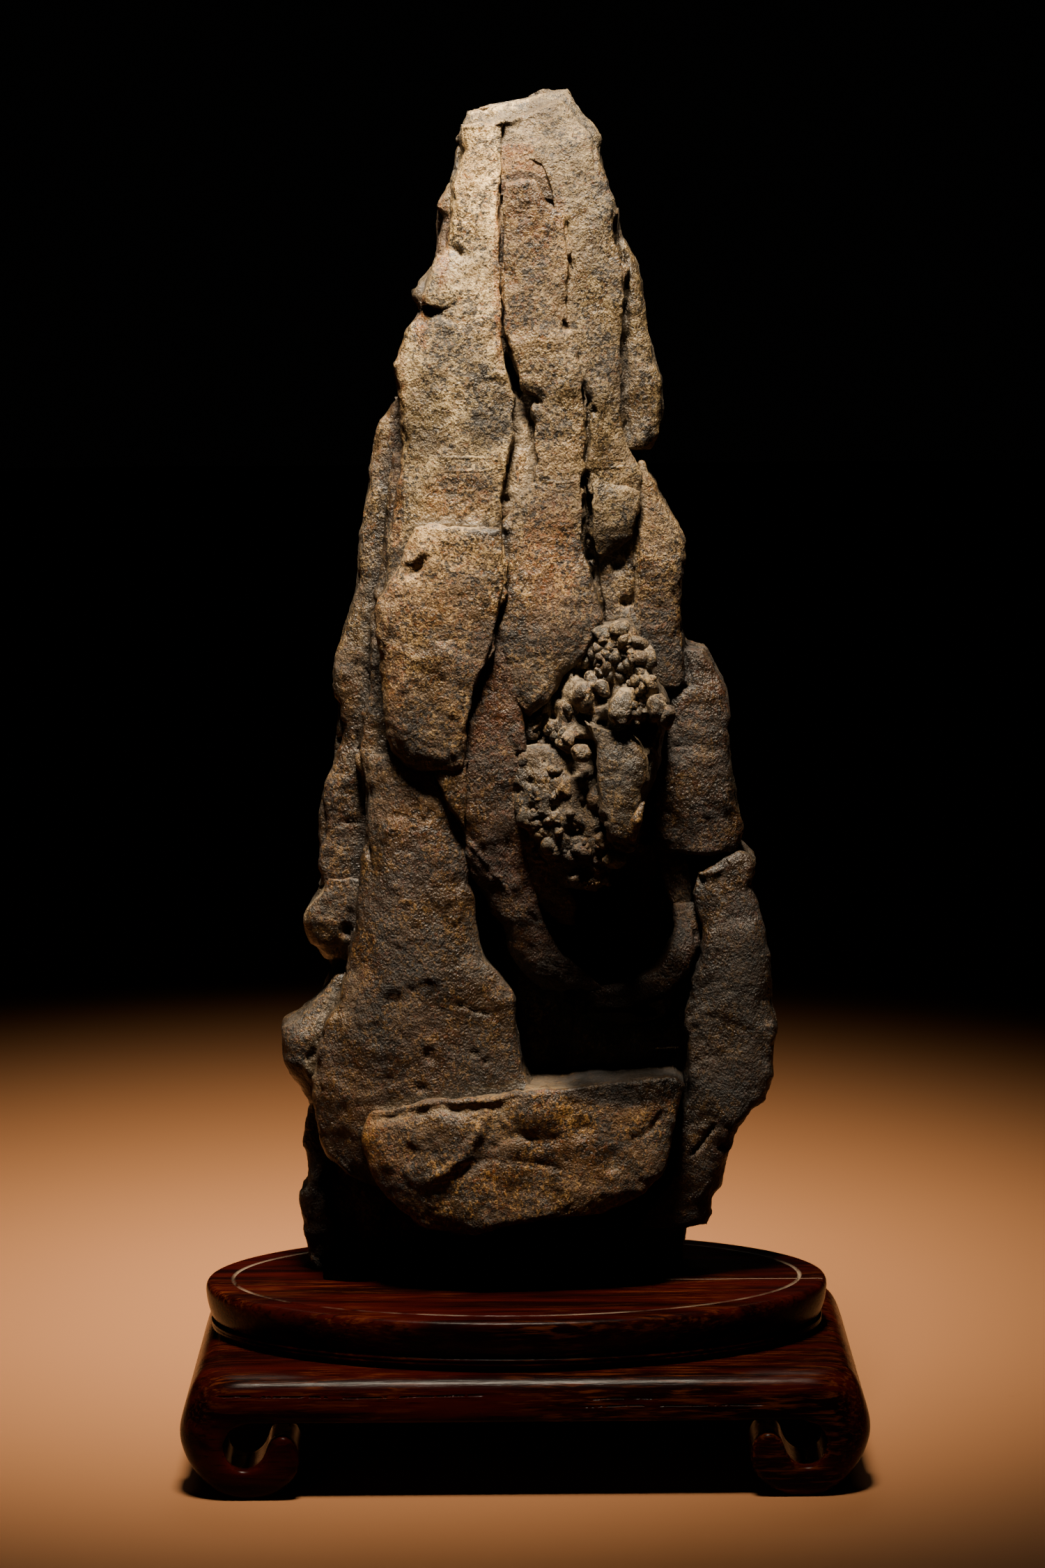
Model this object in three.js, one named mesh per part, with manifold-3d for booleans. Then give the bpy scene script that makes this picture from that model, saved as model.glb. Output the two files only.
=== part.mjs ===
// A tall lingbi scholar stone on its carved dark rosewood stand.
// Millimetres, +Z up, the front facing -Y, the origin on the ground under the middle of the stand.

import * as THREE from 'three';
import { mergeVertices } from 'three/addons/utils/BufferGeometryUtils.js';
import Module from 'manifold-3d';

const wasm = await Module();
wasm.setup();

// Heights of the stand's levels
const BASE_TOP = 45.5;
const APRON_BOTTOM = 28.8;
const BAND_BOTTOM = 45.8;
const BAND_TOP = 50.6;
const BOARD_BOTTOM = 50.9;
const BOARD_TOP = 64.5;
const SEAT_GAP = 0.3;

// Plan of the stand
const BASE_HALF_WIDTH = 126.7;
const BASE_HALF_DEPTH = 76;
const LEG_DEPTH = 26;
const CORNER_RADIUS = 15;
const BOARD_HALF_WIDTH = 117.5;
const BOARD_HALF_DEPTH = 69.5;
const BOARD_OFFSET_X = -2.9;
const GROOVE_INSET = 9.6;
const GROOVE_WIDTH = 1.2;
const GROOVE_DEPTH = 0.7;
const OVAL_SIDES = 42;

// The stone's outlines are drawn on the upright plane y = 0, as an eye in front of the stone sees them.
const EYE_DISTANCE = 1610;
const EYE_HEIGHT = 471.6;
const STONE_FOOT = BOARD_TOP + SEAT_GAP;

const STONE_COLOUR = 0x5d5142;
const WOOD_COLOUR = 0x3a1109;

// Solids and meshes

function toSolid(geometry) {
  const bare = geometry.index ? geometry.clone() : geometry;
  bare.deleteAttribute('normal');
  bare.deleteAttribute('uv');
  const merged = mergeVertices(bare, 1e-4);
  return new wasm.Manifold(new wasm.Mesh({
    numProp: 3,
    vertProperties: new Float32Array(merged.attributes.position.array),
    triVerts: new Uint32Array(merged.index.array),
  }));
}

function toGeometry(solid) {
  const mesh = solid.getMesh();
  const geometry = new THREE.BufferGeometry();
  geometry.setAttribute('position', new THREE.BufferAttribute(new Float32Array(mesh.vertProperties), 3));
  geometry.setIndex(new THREE.BufferAttribute(new Uint32Array(mesh.triVerts), 1));
  return geometry;
}

// A closed surface from points and triangles, turned so that its faces point out
function closedGeometry(points, triangles) {
  const volume = triangles.reduce((sum, [a, b, c]) => {
    const cross = new THREE.Vector3().crossVectors(points[b], points[c]);
    return sum + points[a].dot(cross);
  }, 0);
  const order = volume < 0 ? ([a, b, c]) => [a, c, b] : (triangle) => triangle;
  const geometry = new THREE.BufferGeometry().setFromPoints(points);
  geometry.setIndex(triangles.flatMap(order));
  return geometry;
}

// Stacked closed rings of equal length, capped at both ends
function loft(rings) {
  const around = rings[0].length;
  const points = rings.flat();
  const triangles = [];
  for (let row = 0; row < rings.length - 1; row += 1) {
    for (let k = 0; k < around; k += 1) {
      const next = (k + 1) % around;
      const a = row * around + k;
      const b = row * around + next;
      triangles.push([a, b, b + around], [a, b + around, a + around]);
    }
  }
  const last = (rings.length - 1) * around;
  for (let k = 1; k < around - 1; k += 1) {
    triangles.push([0, k + 1, k], [last, last + k, last + k + 1]);
  }
  return closedGeometry(points, triangles);
}

// Drawing on the plane y = 0

// A point drawn at (x, z) and standing at depth y
function place(x, z, y) {
  const spread = (y + EYE_DISTANCE) / EYE_DISTANCE;
  return new THREE.Vector3(x * spread, y, EYE_HEIGHT + (z - EYE_HEIGHT) * spread);
}

// The place on a rail that runs down from its first point, at a fraction of the rail's height
function onRail(rail, fraction) {
  const top = rail[0][1];
  const bottom = rail[rail.length - 1][1];
  const z = top + (bottom - top) * fraction;
  const low = rail.findIndex((point, k) => k > 0 && point[1] <= z + 1e-6);
  const end = rail[low < 0 ? rail.length - 1 : low];
  const start = rail[(low < 0 ? rail.length - 1 : low) - 1];
  const share = start[1] === end[1] ? 1 : (start[1] - z) / (start[1] - end[1]);
  return { x: THREE.MathUtils.lerp(start[0], end[0], share), z };
}

// The heights at which either rail bends, as fractions, with near ones taken together
function railLevels(rails, nearest) {
  const height = rails[0][0][1] - rails[0][rails[0].length - 1][1];
  const bends = rails.flatMap((rail) => {
    const top = rail[0][1];
    const span = top - rail[rail.length - 1][1];
    return rail.map((point) => (top - point[1]) / span);
  }).sort((a, b) => a - b);
  const levels = [0];
  bends.forEach((level) => {
    const clear = level - levels[levels.length - 1] > nearest / height;
    if (clear && 1 - level > nearest / height) levels.push(level);
  });
  return [...levels, 1];
}

// A value from an evenly spread list, at a fraction of its length
function spreadValue(values, fraction) {
  const position = fraction * (values.length - 1);
  const low = Math.min(Math.floor(position), values.length - 2);
  return THREE.MathUtils.lerp(values[low], values[low + 1], position - low);
}

const HEM_SHARE = 0.45;
const LUMP_UNEVENNESS = 0.16;
const RIDGE_SIDES = 7;
const RIDGE_REACH = 1.8;

const ACROSS = {
  narrow: [0, 0.2, 0.8, 1],
  middle: [0, 0.13, 0.5, 0.87, 1],
  wide: [0, 0.07, 0.34, 0.66, 0.93, 1],
};

// A slab of stone between two rails, both drawn from the top down. Its face stands at the depths in
// front, is crowned and has eased edges. Its sides run straight to the depth back, or draw in by the
// hem on their way there.
function slab({
  left, right, front, back,
  crown = 3, edge = 1.5, lip = 2, slant = 0, hem = 0, across = 'middle', nearest = 9,
}) {
  const inward = Math.sign(back - front[0]);
  const spots = ACROSS[across];
  const levels = railLevels([left, right], nearest);
  const rows = levels.map((level, k) => {
    const a = onRail(left, level);
    const b = onRail(right, level);
    const ends = k === 0 || k === levels.length - 1 ? lip : 0;
    return spots.map((spot) => {
      const side = Math.abs(2 * spot - 1);
      const eased = crown * side ** 3 + (side === 1 ? edge : 0) + ends;
      const depth = spreadValue(front, level) + slant * (spot - 0.5) + inward * eased;
      return place(THREE.MathUtils.lerp(a.x, b.x, spot), THREE.MathUtils.lerp(a.z, b.z, spot), depth);
    });
  });
  const rings = rows.map((row) => {
    const first = row[0];
    const last = row[row.length - 1];
    const behind = (point, inset, y) => new THREE.Vector3(point.x + inset, y, point.z);
    const waist = back - (back - first.y) * HEM_SHARE;
    const middle = hem ? [[last, 0], [first, 0]].map(([point, inset]) => behind(point, inset, waist)) : [];
    const far = [behind(last, -hem, back), behind(first, hem, back)];
    return [...row, ...middle.slice(0, 1), ...far, ...middle.slice(1)];
  });
  return toSolid(loft(rings));
}

// An uneven lump, drawn at (x, z), its middle at depth y
function lump(x, z, y, size, turn = 0) {
  const geometry = new THREE.OctahedronGeometry(1, 1);
  const corners = geometry.attributes.position;
  for (let k = 0; k < corners.count; k += 1) {
    const corner = new THREE.Vector3().fromBufferAttribute(corners, k);
    const wave = Math.sin(5.3 * corner.x + x) * Math.cos(4.1 * corner.y + 6.1 * corner.z + z);
    corner.multiplyScalar(1 + LUMP_UNEVENNESS * wave);
    corners.setXYZ(k, ...corner.toArray());
  }
  geometry.scale(...size);
  geometry.rotateY(turn);
  const centre = place(x, z, y);
  geometry.translate(centre.x, centre.y, centre.z);
  return toSolid(geometry);
}

// A ridge with rounded ends along drawn points, each with its depth and radius. It reaches further
// in depth than it is broad.
function ridge(points) {
  const spine = points.map(([x, z, y]) => place(x, z, y));
  const rings = spine.map((centre, k) => {
    const before = spine[Math.max(k - 1, 0)];
    const after = spine[Math.min(k + 1, spine.length - 1)];
    const along = new THREE.Vector3().subVectors(after, before).normalize();
    const out = new THREE.Vector3(0, -1, 0).addScaledVector(along, along.y).normalize();
    const side = new THREE.Vector3().crossVectors(along, out);
    return Array.from({ length: RIDGE_SIDES }, (_, step) => {
      const angle = 2 * Math.PI * step / RIDGE_SIDES;
      return centre.clone()
        .addScaledVector(out, RIDGE_REACH * points[k][3] * Math.cos(angle))
        .addScaledVector(side, points[k][3] * Math.sin(angle));
    });
  });
  return toSolid(loft(rings));
}

// The stone

// Rows of the body: drawn height, left, right, front and back
const BODY = [
  [503, -6, 20, 0, 16],
  [494, -15, 25, -5, 19],
  [480, -19, 29, -6, 21],
  [450, -25, 38, -6, 25],
  [420, -34, 42, -7, 28],
  [385, -44, 44, -8, 32],
  [345, -53, 54, -8, 35],
  [300, -60, 60, -8, 37],
  [260, -61, 72, -8, 39],
  [232, -66, 79, -6, 40],
  [215, -66, 82, 12, 41],
  [180, -64, 88, 14, 42],
  [150, -74, 89, 13, 43],
  [120, -78, 76, 6, 43],
  [90, -79, 67, 5, 42],
  [60, -77, 58, 5, 39],
];
const BODY_SIDES = 10;
const BODY_SQUARENESS = 0.72;

function body() {
  const rounded = (value) => Math.sign(value) * Math.abs(value) ** BODY_SQUARENESS;
  const rings = BODY.map(([z, left, right, front, back]) => {
    return Array.from({ length: BODY_SIDES }, (_, k) => {
      const angle = 2 * Math.PI * (k + 0.5) / BODY_SIDES;
      const x = (left + right) / 2 + rounded(Math.cos(angle)) * (right - left) / 2;
      const y = (front + back) / 2 + rounded(Math.sin(angle)) * (back - front) / 2;
      return place(x, z, y);
    });
  });
  return toSolid(loft(rings));
}

// The tall columns of the upper front
function upperFront() {
  return [
    // crest, the highest layer, behind the front columns
    slab({
      left: [[-17, 500.5], [-20.5, 492], [-20, 480]],
      right: [[19.5, 508.3], [23, 501], [30, 495.5], [32.3, 491], [30.8, 485], [33, 478]],
      front: [1, -4],
      back: 16,
      crown: 2,
      lip: 1,
      nearest: 4,
    }),
    // left column, broad and convex
    slab({
      left: [[-19.5, 495], [-20.5, 490], [-20, 486], [-23.3, 476], [-25, 465], [-25.7, 455], [-28, 447],
        [-33, 434], [-35, 429], [-40.7, 421], [-44.3, 412], [-46, 408], [-44.7, 400], [-43, 380],
        [-44.7, 364], [-49, 341], [-51, 320], [-51, 285]],
      right: [[-3, 497.5], [-4, 491], [-5.5, 468], [-6, 440], [-5.5, 419], [-1, 397], [0, 390], [-1, 381],
        [-6, 360], [-5, 340], [-8, 310], [-12, 285]],
      front: [-13, -15, -18, -20, -20, -19],
      back: 5,
      crown: 4,
      lip: 0.5,
      across: 'wide',
    }),
    // step on the left column
    slab({
      left: [[-28, 450], [-33, 438], [-35, 430]],
      right: [[-10, 449], [-12, 438], [-18, 428]],
      front: [-16, -19.5, -21],
      slant: 4,
      back: -5,
      crown: 3,
      lip: 0.5,
      nearest: 6,
    }),
    // top of the central column
    slab({
      left: [[-3.7, 475], [-5.4, 468], [-6, 445], [-5, 419], [-1, 408], [2, 399], [6, 393]],
      right: [[7, 476.5], [12.4, 467.5], [18.7, 462.5], [20.8, 449], [20.5, 436], [24, 410], [25.5, 393]],
      front: [-15, -16.5, -17.5, -18],
      back: 5,
      crown: 2,
    }),
    // middle of the central column
    slab({
      left: [[6, 398], [5, 380], [7, 368], [4, 350], [4, 335]],
      right: [[25, 398], [26, 391], [26, 371], [25.3, 358], [25, 335]],
      front: [-17, -18.5, -19],
      back: 5,
      crown: 2,
      across: 'narrow',
    }),
    // foot of the central column, with a tongue at its end
    slab({
      left: [[1, 364], [-4, 349], [-4.5, 325], [-6.5, 313], [-3.7, 292], [-3, 284], [-1, 280.5]],
      right: [[25.5, 367], [25, 341], [29.4, 323], [31, 314], [25, 301], [17, 293], [11, 284], [4, 278]],
      front: [-17.5, -19.5, -20, -19],
      back: 5,
      crown: 2,
      nearest: 5,
    }),
    // the sliver in the crack left of the central column
    slab({
      left: [[-1, 405], [1, 392], [-1, 382], [-5, 368], [-6, 359]],
      right: [[3, 397], [7, 392], [5, 380], [4, 366], [-2, 357]],
      front: [-11, -12, -13],
      back: 5,
      across: 'narrow',
    }),
    // flank right of the central column, from the top down
    slab({
      left: [[-4, 497.5], [-5, 480], [0, 470], [10, 440], [16, 410], [20, 380], [24, 365]],
      right: [[17, 505.5], [24, 499], [28, 492], [29.5, 484], [33, 476], [37, 464], [37.6, 455],
        [41.3, 443], [40, 424], [39.5, 405], [40.4, 385], [44, 370], [46, 364]],
      front: [-9, -11, -11, -10, -9],
      back: 8,
      crown: 3,
      edge: 2,
      nearest: 7,
    }),
  ];
}

// Slabs of the middle front
function middleFront() {
  return [
    // left front slab, standing proud of the left column
    slab({
      left: [[-38.5, 349.5], [-42, 343], [-44.5, 335.5], [-47.6, 330.5], [-53, 317], [-51, 300],
        [-51, 278], [-47.7, 265], [-42, 257.5]],
      right: [[-6, 347.5], [-4.2, 340], [-4.5, 324], [-8.5, 310], [-8.2, 303], [-15.3, 293],
        [-20, 274.5], [-21, 257]],
      front: [-26.5, -27.5, -27.5, -26],
      back: -5,
      crown: 2,
      lip: 0.5,
      across: 'wide',
      nearest: 5,
    }),
    // small step under its lower right corner
    slab({
      left: [[-31.5, 262], [-31, 254], [-27.5, 245], [-22, 236.5]],
      right: [[-19, 262], [-20, 250], [-20, 236]],
      front: [-22, -20],
      back: -5,
      crown: 2,
      across: 'narrow',
    }),
    // slab right of the central column
    slab({
      left: [[26.4, 370.5], [25.5, 350], [28, 330], [31, 314]],
      right: [[34.7, 366], [44.5, 358], [43, 350], [38.8, 338.5], [34, 335], [33, 325], [34, 314]],
      front: [-14, -15, -12],
      back: 5,
      crown: 2,
      across: 'narrow',
    }),
    // right slab with a bulging outer edge
    slab({
      left: [[46, 363], [45, 355], [43, 339.5], [43.5, 320], [42, 311], [44, 300], [52, 288]],
      right: [[52, 362], [54, 357], [59.3, 350], [62.5, 343], [61.4, 331], [60.4, 320], [61, 313],
        [62.8, 298], [62, 287]],
      front: [-6, -9, -9, -8],
      back: 15,
      crown: 2.5,
    }),
    // ochre slab with a tail that hangs over the hollow
    slab({
      left: [[-12, 297], [-16.2, 286], [-20, 274.5], [-21, 250], [-21, 234], [-12, 221], [-7, 210],
        [-6.5, 196], [-3.5, 186], [3, 178.5], [9, 174]],
      right: [[-9, 299], [-3, 284], [2, 270], [0, 240], [2, 218], [2, 203], [5, 191], [12, 183], [16, 174]],
      front: [-18, -18, -17, -15, -12],
      back: 22,
      crown: 2,
      nearest: 7,
    }),
    // small tongue beside the tail
    slab({
      left: [[1, 226], [3, 215], [8, 206], [14, 200]],
      right: [[16, 226], [18, 214], [21.5, 205], [20, 199]],
      front: [-20, -17, -13],
      back: 22,
      crown: 1.5,
      across: 'narrow',
    }),
    // ochre slab on the right
    slab({
      left: [[58, 303], [53, 285], [51, 268], [49, 256], [49, 245], [50, 235], [54, 224]],
      right: [[69.5, 304], [74, 294], [78.5, 283], [79, 277], [77.8, 272], [79, 257], [82.3, 241],
        [83.8, 234], [80, 224]],
      front: [-4, -8, -9, -8],
      back: 26,
      hem: 4,
      crown: 2.5,
    }),
    // the narrow slab under it, between the cluster and the lower right slab
    slab({
      left: [[49, 240], [50.5, 228], [53, 214], [58, 201]],
      right: [[62, 238], [68, 226], [68, 214], [64, 201]],
      front: [-4, -4, -2],
      back: 22,
      crown: 1.5,
      across: 'narrow',
    }),
  ];
}

// The nodular cluster that juts out on the right, drawn from the top down
const CLUSTER_LUMPS = [
  [30, 306, -20, [7, 6, 5.5]], [39, 307, -21, [7, 7, 5.5]], [45, 299, -24, [6.5, 7, 7]],
  [33, 297, -24, [6.5, 6, 5.5]], [22, 297, -21, [6, 6, 6]], [25, 287, -24, [7.5, 7, 5.5]],
  [47, 289, -28, [6.5, 6, 5]], [14, 278, -20, [6, 6, 6.5]], [4, 266, -17, [7.5, 6, 7]],
  [19, 267, -24, [7.5, 6.5, 6.5]], [24, 249, -26, [7, 7.5, 8]], [12, 249, -23, [7, 6.5, 7.5]],
  [3, 236, -16, [6.5, 6, 7]], [16, 235, -21, [7, 6, 7]], [28, 223, -20, [10, 8, 7]],
];

function cluster() {
  return [
    // ground of the cluster
    slab({
      left: [[29, 312], [24, 305], [15, 298], [9.6, 283], [0.8, 273], [-3.5, 265], [-2, 240], [-1, 229],
        [14, 224], [21, 216]],
      right: [[36, 313], [44, 307], [49.3, 294.5], [56, 283], [57, 276], [51, 264], [50, 254], [46, 243],
        [45, 231], [40, 226], [29, 215]],
      front: [-23, -27, -28, -26, -19],
      back: 18,
      crown: 4,
      edge: 3,
      slant: -6,
    }),
    // smooth block on it
    slab({
      left: [[24, 277], [29, 266], [30, 252], [29, 240], [34, 230]],
      right: [[41, 271], [48, 262], [49, 254], [45, 243], [44, 231]],
      front: [-35, -36, -33],
      back: -10,
      crown: 2,
      edge: 2,
    }),
    // large wedge that overhangs the block
    slab({
      left: [[40, 288], [33, 281], [36, 274.5]],
      right: [[42.5, 287], [43.5, 280], [41, 274]],
      front: [-33, -41, -41],
      back: -20,
      crown: 2,
      lip: 0.5,
      across: 'narrow',
    }),
    lump(50, 279, -31, [6.5, 7, 5.5]),
    // leaning splinter
    slab({
      left: [[44.5, 244], [41, 238], [39, 234]],
      right: [[46.5, 244.5], [45, 236], [42, 231]],
      front: [-37, -38],
      back: -20,
      crown: 1,
      across: 'narrow',
    }),
    ...CLUSTER_LUMPS.map(([x, z, y, size]) => lump(x, z, y, size, x)),
  ];
}

// The broad lower front and the hollow's surroundings
function lowerFront() {
  return [
    // lower left column, broad and convex
    slab({
      left: [[-57, 264], [-58, 240], [-60, 220], [-62, 205], [-65.5, 181], [-70, 169], [-76, 158],
        [-78, 138], [-76, 118], [-71, 108], [-58, 99]],
      right: [[-21, 264], [-20.5, 234], [-17, 226], [-19, 215], [-16.5, 200], [-14, 188], [-4, 174],
        [-2, 160], [1, 143], [10, 128], [14, 112], [6, 99]],
      front: [-14, -16, -19, -22, -23, -20],
      back: 20,
      crown: 8,
      across: 'wide',
    }),
    // bottom lump with a ledge along its top
    slab({
      left: [[-53, 129.5], [-58, 127.5], [-61, 118], [-60, 110], [-56, 100], [-48, 91], [-38, 84],
        [-25, 80]],
      right: [[58, 141], [62, 137], [58.5, 127], [57, 114], [53, 103], [44, 95], [30, 88.5], [8, 85]],
      front: [-28, -32, -32, -27],
      back: 20,
      crown: 5,
      edge: 2,
      lip: 1,
      across: 'wide',
      nearest: 5,
    }),
    // rim inside the hollow
    ridge([
      [12, 176, 6, 3], [19, 171, 7, 4], [27, 168.5, 6, 5], [35, 167, 5, 6], [43, 168, 5, 7.5],
      [50, 171, 5, 9], [56, 178, 6, 9], [60, 189, 7, 7], [63, 201, 8, 4],
    ]),
    // lump on the rim's bed
    lump(49, 181, 5, [6, 8, 5]),
    // right wall of the hollow
    slab({
      left: [[50, 214], [52, 200], [51, 184], [57, 172], [60, 150], [56, 136]],
      right: [[68, 214], [70, 180], [68, 136]],
      front: [2, 0, -2],
      back: 25,
      crown: 2,
    }),
    // lower right slab, the full height of the lower stone
    slab({
      left: [[68, 219], [64, 210], [67, 198], [67, 188], [62.5, 172], [61, 158], [63, 140], [59, 122],
        [57.5, 106], [52, 95], [41, 80]],
      right: [[83, 229.5], [88.5, 223], [86.5, 215], [89, 205], [92, 194], [94.3, 186], [93.7, 172],
        [96.7, 159], [94.3, 150], [93.5, 136], [85, 126], [79, 117], [77, 106], [72, 94], [71.5, 85],
        [67, 82.5]],
      front: [-8, -11, -12, -13, -9],
      back: 30,
      hem: 5,
      crown: 3,
      nearest: 5,
    }),
  ];
}

// Layers that show their edges on the left and on the right
function sideLayers() {
  return [
    // strip beside the left column
    slab({
      left: [[-24, 475], [-29, 466], [-27, 462], [-29, 452], [-29, 446], [-36, 438], [-38, 434], [-35, 429]],
      right: [[-15, 475], [-15, 450], [-20, 429]],
      front: [-5, -8],
      back: 15,
      across: 'narrow',
      nearest: 5,
    }),
    // left back layer
    slab({
      left: [[-45, 396], [-50.2, 388], [-54.3, 370.5], [-57.4, 352], [-59, 346], [-58, 336], [-62, 319],
        [-66, 307], [-69, 292], [-68, 285], [-65.8, 272], [-69.4, 258], [-74.7, 248], [-72.3, 240],
        [-75.2, 229], [-76, 214]],
      right: [[-38, 396], [-42, 340], [-46, 280], [-50, 214]],
      front: [0, -3, -4, -4],
      back: 27,
      hem: 5,
      crown: 2,
    }),
    // strip between that layer and the front slabs
    slab({
      left: [[-46, 376], [-50, 345], [-54, 320], [-57.5, 285.5], [-60.5, 264], [-58.5, 245], [-57, 228]],
      right: [[-40, 376], [-44, 300], [-48, 228]],
      front: [-8, -11, -12],
      back: 5,
      crown: 1.5,
      across: 'narrow',
    }),
    // knob on the left edge
    slab({
      left: [[-76, 217], [-77, 210], [-81, 206], [-82, 201], [-79, 193], [-73, 187]],
      right: [[-60, 217], [-60, 187]],
      front: [-4, -9, -5],
      back: 20,
      hem: 4,
      crown: 3,
      nearest: 4,
    }),
    // back wall behind the hollow under the knob
    slab({
      left: [[-73, 192], [-72, 182], [-75, 172]],
      right: [[-58, 192], [-58, 172]],
      front: [8, 8],
      back: 32,
      crown: 1,
      across: 'narrow',
    }),
    // strut and lump below the hollow
    slab({
      left: [[-71, 181], [-75.5, 173], [-82, 168], [-90, 161], [-90.8, 156], [-89.8, 148], [-85, 140],
        [-80.5, 132]],
      right: [[-64, 181], [-64, 132]],
      front: [-2, -4, -8, -2],
      back: 18,
      hem: 4,
      crown: 3,
      nearest: 4,
    }),
    // blade on the lower left, down to the board
    slab({
      left: [[-79, 136], [-82, 121], [-83.5, 116], [-81, 110], [-80.8, 101], [-84.5, 96.5], [-83, 87],
        [-82, 75], [-80, 58]],
      right: [[-70, 136], [-74, 112], [-76.5, 100], [-73, 92], [-70, 80], [-64, 58]],
      front: [2, 6, 14],
      back: 38,
      hem: 3,
      crown: 2,
      nearest: 5,
    }),
    // toe in front of the blade
    slab({
      left: [[-75, 72], [-77, 68], [-77, 56]],
      right: [[-66, 73], [-58, 67], [-54, 56]],
      front: [2, -11, -15],
      back: 26,
      crown: 1.5,
      lip: 0.5,
      across: 'narrow',
    }),
    // right back layer beside the flank
    slab({
      left: [[34, 448], [34, 376]],
      right: [[43, 448], [46, 438], [49.3, 417], [53.8, 400], [54.4, 388], [49.6, 377]],
      front: [-2, -4],
      back: 24,
      hem: 4,
      crown: 2,
    }),
    // layer behind the right slab
    slab({
      left: [[36, 374], [40, 340], [44, 300]],
      right: [[46, 372], [51, 365], [54, 357], [59, 350], [62, 342], [60, 320], [62, 300]],
      front: [0, 0],
      back: 26,
      crown: 1.5,
      across: 'narrow',
    }),
    // foot of the stone, set back under the bottom lump
    slab({
      left: [[-66, 104], [-62, 80], [-52, 56]],
      right: [[50, 104], [52, 80], [48, 56]],
      front: [9, 6],
      slant: -12,
      back: 36,
      crown: 4,
    }),
  ];
}

// The back, finished like the front with columns, slabs and ledges in lower relief
const BACK_NEAREST = 16;

function backSide() {
  return [
    // three tall columns
    slab({
      left: [[-12, 502], [-19, 480], [-22, 450], [-20, 420], [-16, 380], [-20, 350]],
      right: [[14, 506], [12, 480], [14, 440], [10, 410], [16, 370], [12, 350]],
      front: [18, 26, 32, 36],
      back: 5,
      crown: 4,
      nearest: BACK_NEAREST,
    }),
    slab({
      left: [[6, 492], [10, 460], [9, 420], [14, 380], [10, 330]],
      right: [[28, 488], [34, 462], [40, 430], [46, 395], [44, 370], [50, 345], [46, 330]],
      front: [20, 26, 31, 34],
      back: 5,
      crown: 4,
      across: 'narrow',
      nearest: BACK_NEAREST,
    }),
    slab({
      left: [[-28, 440], [-36, 425], [-43, 405], [-43, 375], [-49, 345], [-52, 310], [-50, 285]],
      right: [[-12, 446], [-14, 400], [-18, 360], [-12, 320], [-20, 285]],
      front: [26, 31, 36, 36],
      back: 5,
      crown: 4,
      nearest: BACK_NEAREST,
    }),
    // two slabs across the middle
    slab({
      left: [[-18, 352], [-24, 330], [-20, 300], [-28, 270], [-22, 240], [-12, 222]],
      right: [[16, 346], [22, 320], [18, 290], [26, 262], [20, 236], [8, 222]],
      front: [39, 43, 43, 41],
      back: 15,
      crown: 3,
      edge: 2,
      across: 'narrow',
      nearest: BACK_NEAREST,
    }),
    slab({
      left: [[22, 336], [16, 300], [24, 270], [22, 240]],
      right: [[50, 332], [57, 310], [58, 290], [70, 270], [72, 246], [66, 240]],
      front: [35, 39, 40],
      back: 10,
      across: 'narrow',
      nearest: BACK_NEAREST,
    }),
    // two broad columns of the lower half
    slab({
      left: [[-52, 292], [-60, 270], [-63, 240], [-66, 205], [-62, 180], [-70, 150], [-68, 126]],
      right: [[-24, 290], [-28, 250], [-20, 215], [-24, 180], [-14, 150], [-20, 126]],
      front: [36, 40, 43, 44],
      back: 10,
      crown: 4,
      nearest: BACK_NEAREST,
    }),
    slab({
      left: [[28, 246], [18, 215], [22, 180], [16, 150], [24, 120]],
      right: [[74, 250], [80, 225], [82, 195], [86, 165], [82, 140], [70, 120]],
      front: [38, 42, 44, 43],
      back: 10,
      crown: 4,
      nearest: BACK_NEAREST,
    }),
    // low slab between them
    slab({
      left: [[-30, 214], [-26, 190], [-34, 160], [-26, 140]],
      right: [[20, 220], [26, 190], [16, 160], [20, 140]],
      front: [42, 46, 44],
      back: 15,
      crown: 4,
      across: 'narrow',
      nearest: BACK_NEAREST,
    }),
    // lump along the foot
    slab({
      left: [[-66, 134], [-70, 115], [-62, 92], [-56, 74]],
      right: [[60, 128], [66, 110], [58, 90], [50, 74]],
      front: [45, 47, 42],
      back: 10,
      crown: 5,
      nearest: BACK_NEAREST,
    }),
  ];
}

// Pits and hollows cut into the finished surface
function hollows() {
  return [
    lump(-22, 448, -21, [4, 5, 3]),
    lump(18.5, 422, -20, [2.8, 5, 3.2]),
    lump(27.5, 393, -11, [2.8, 5, 5]),
    lump(-35.5, 333, -29, [5.5, 4, 3], 0.5),
    lump(38.5, 335, -8, [5, 10, 4]),
    lump(40, 320, -8, [3.2, 8, 3.4]),
    lump(50, 269, -33, [4.5, 8, 3.8]),
    lump(20, 259, -30, [4.2, 6, 3.6]),
    lump(24, 236, -29, [5.5, 8, 4.5]),
    lump(8, 241, -21, [4.5, 7, 5]),
    lump(-35, 151, -23, [3.8, 4, 3.4]),
    lump(-15, 150, -22, [4.2, 4, 3]),
    lump(-84, 147, -9, [4, 7, 3]),
    lump(-12, 499, -6, [8, 8, 3.5], 0.3),
  ];
}

// Nodules that sit in the hollows
function nodules() {
  return [
    lump(38.8, 327, -6, [3.8, 5, 4.2]),
    lump(18.5, 429, -17, [2.6, 3.5, 4.5]),
    lump(2.3, 383, -13, [2.5, 3, 5]),
    lump(-4, 364, -16, [3.2, 3, 5.5]),
  ];
}

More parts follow.
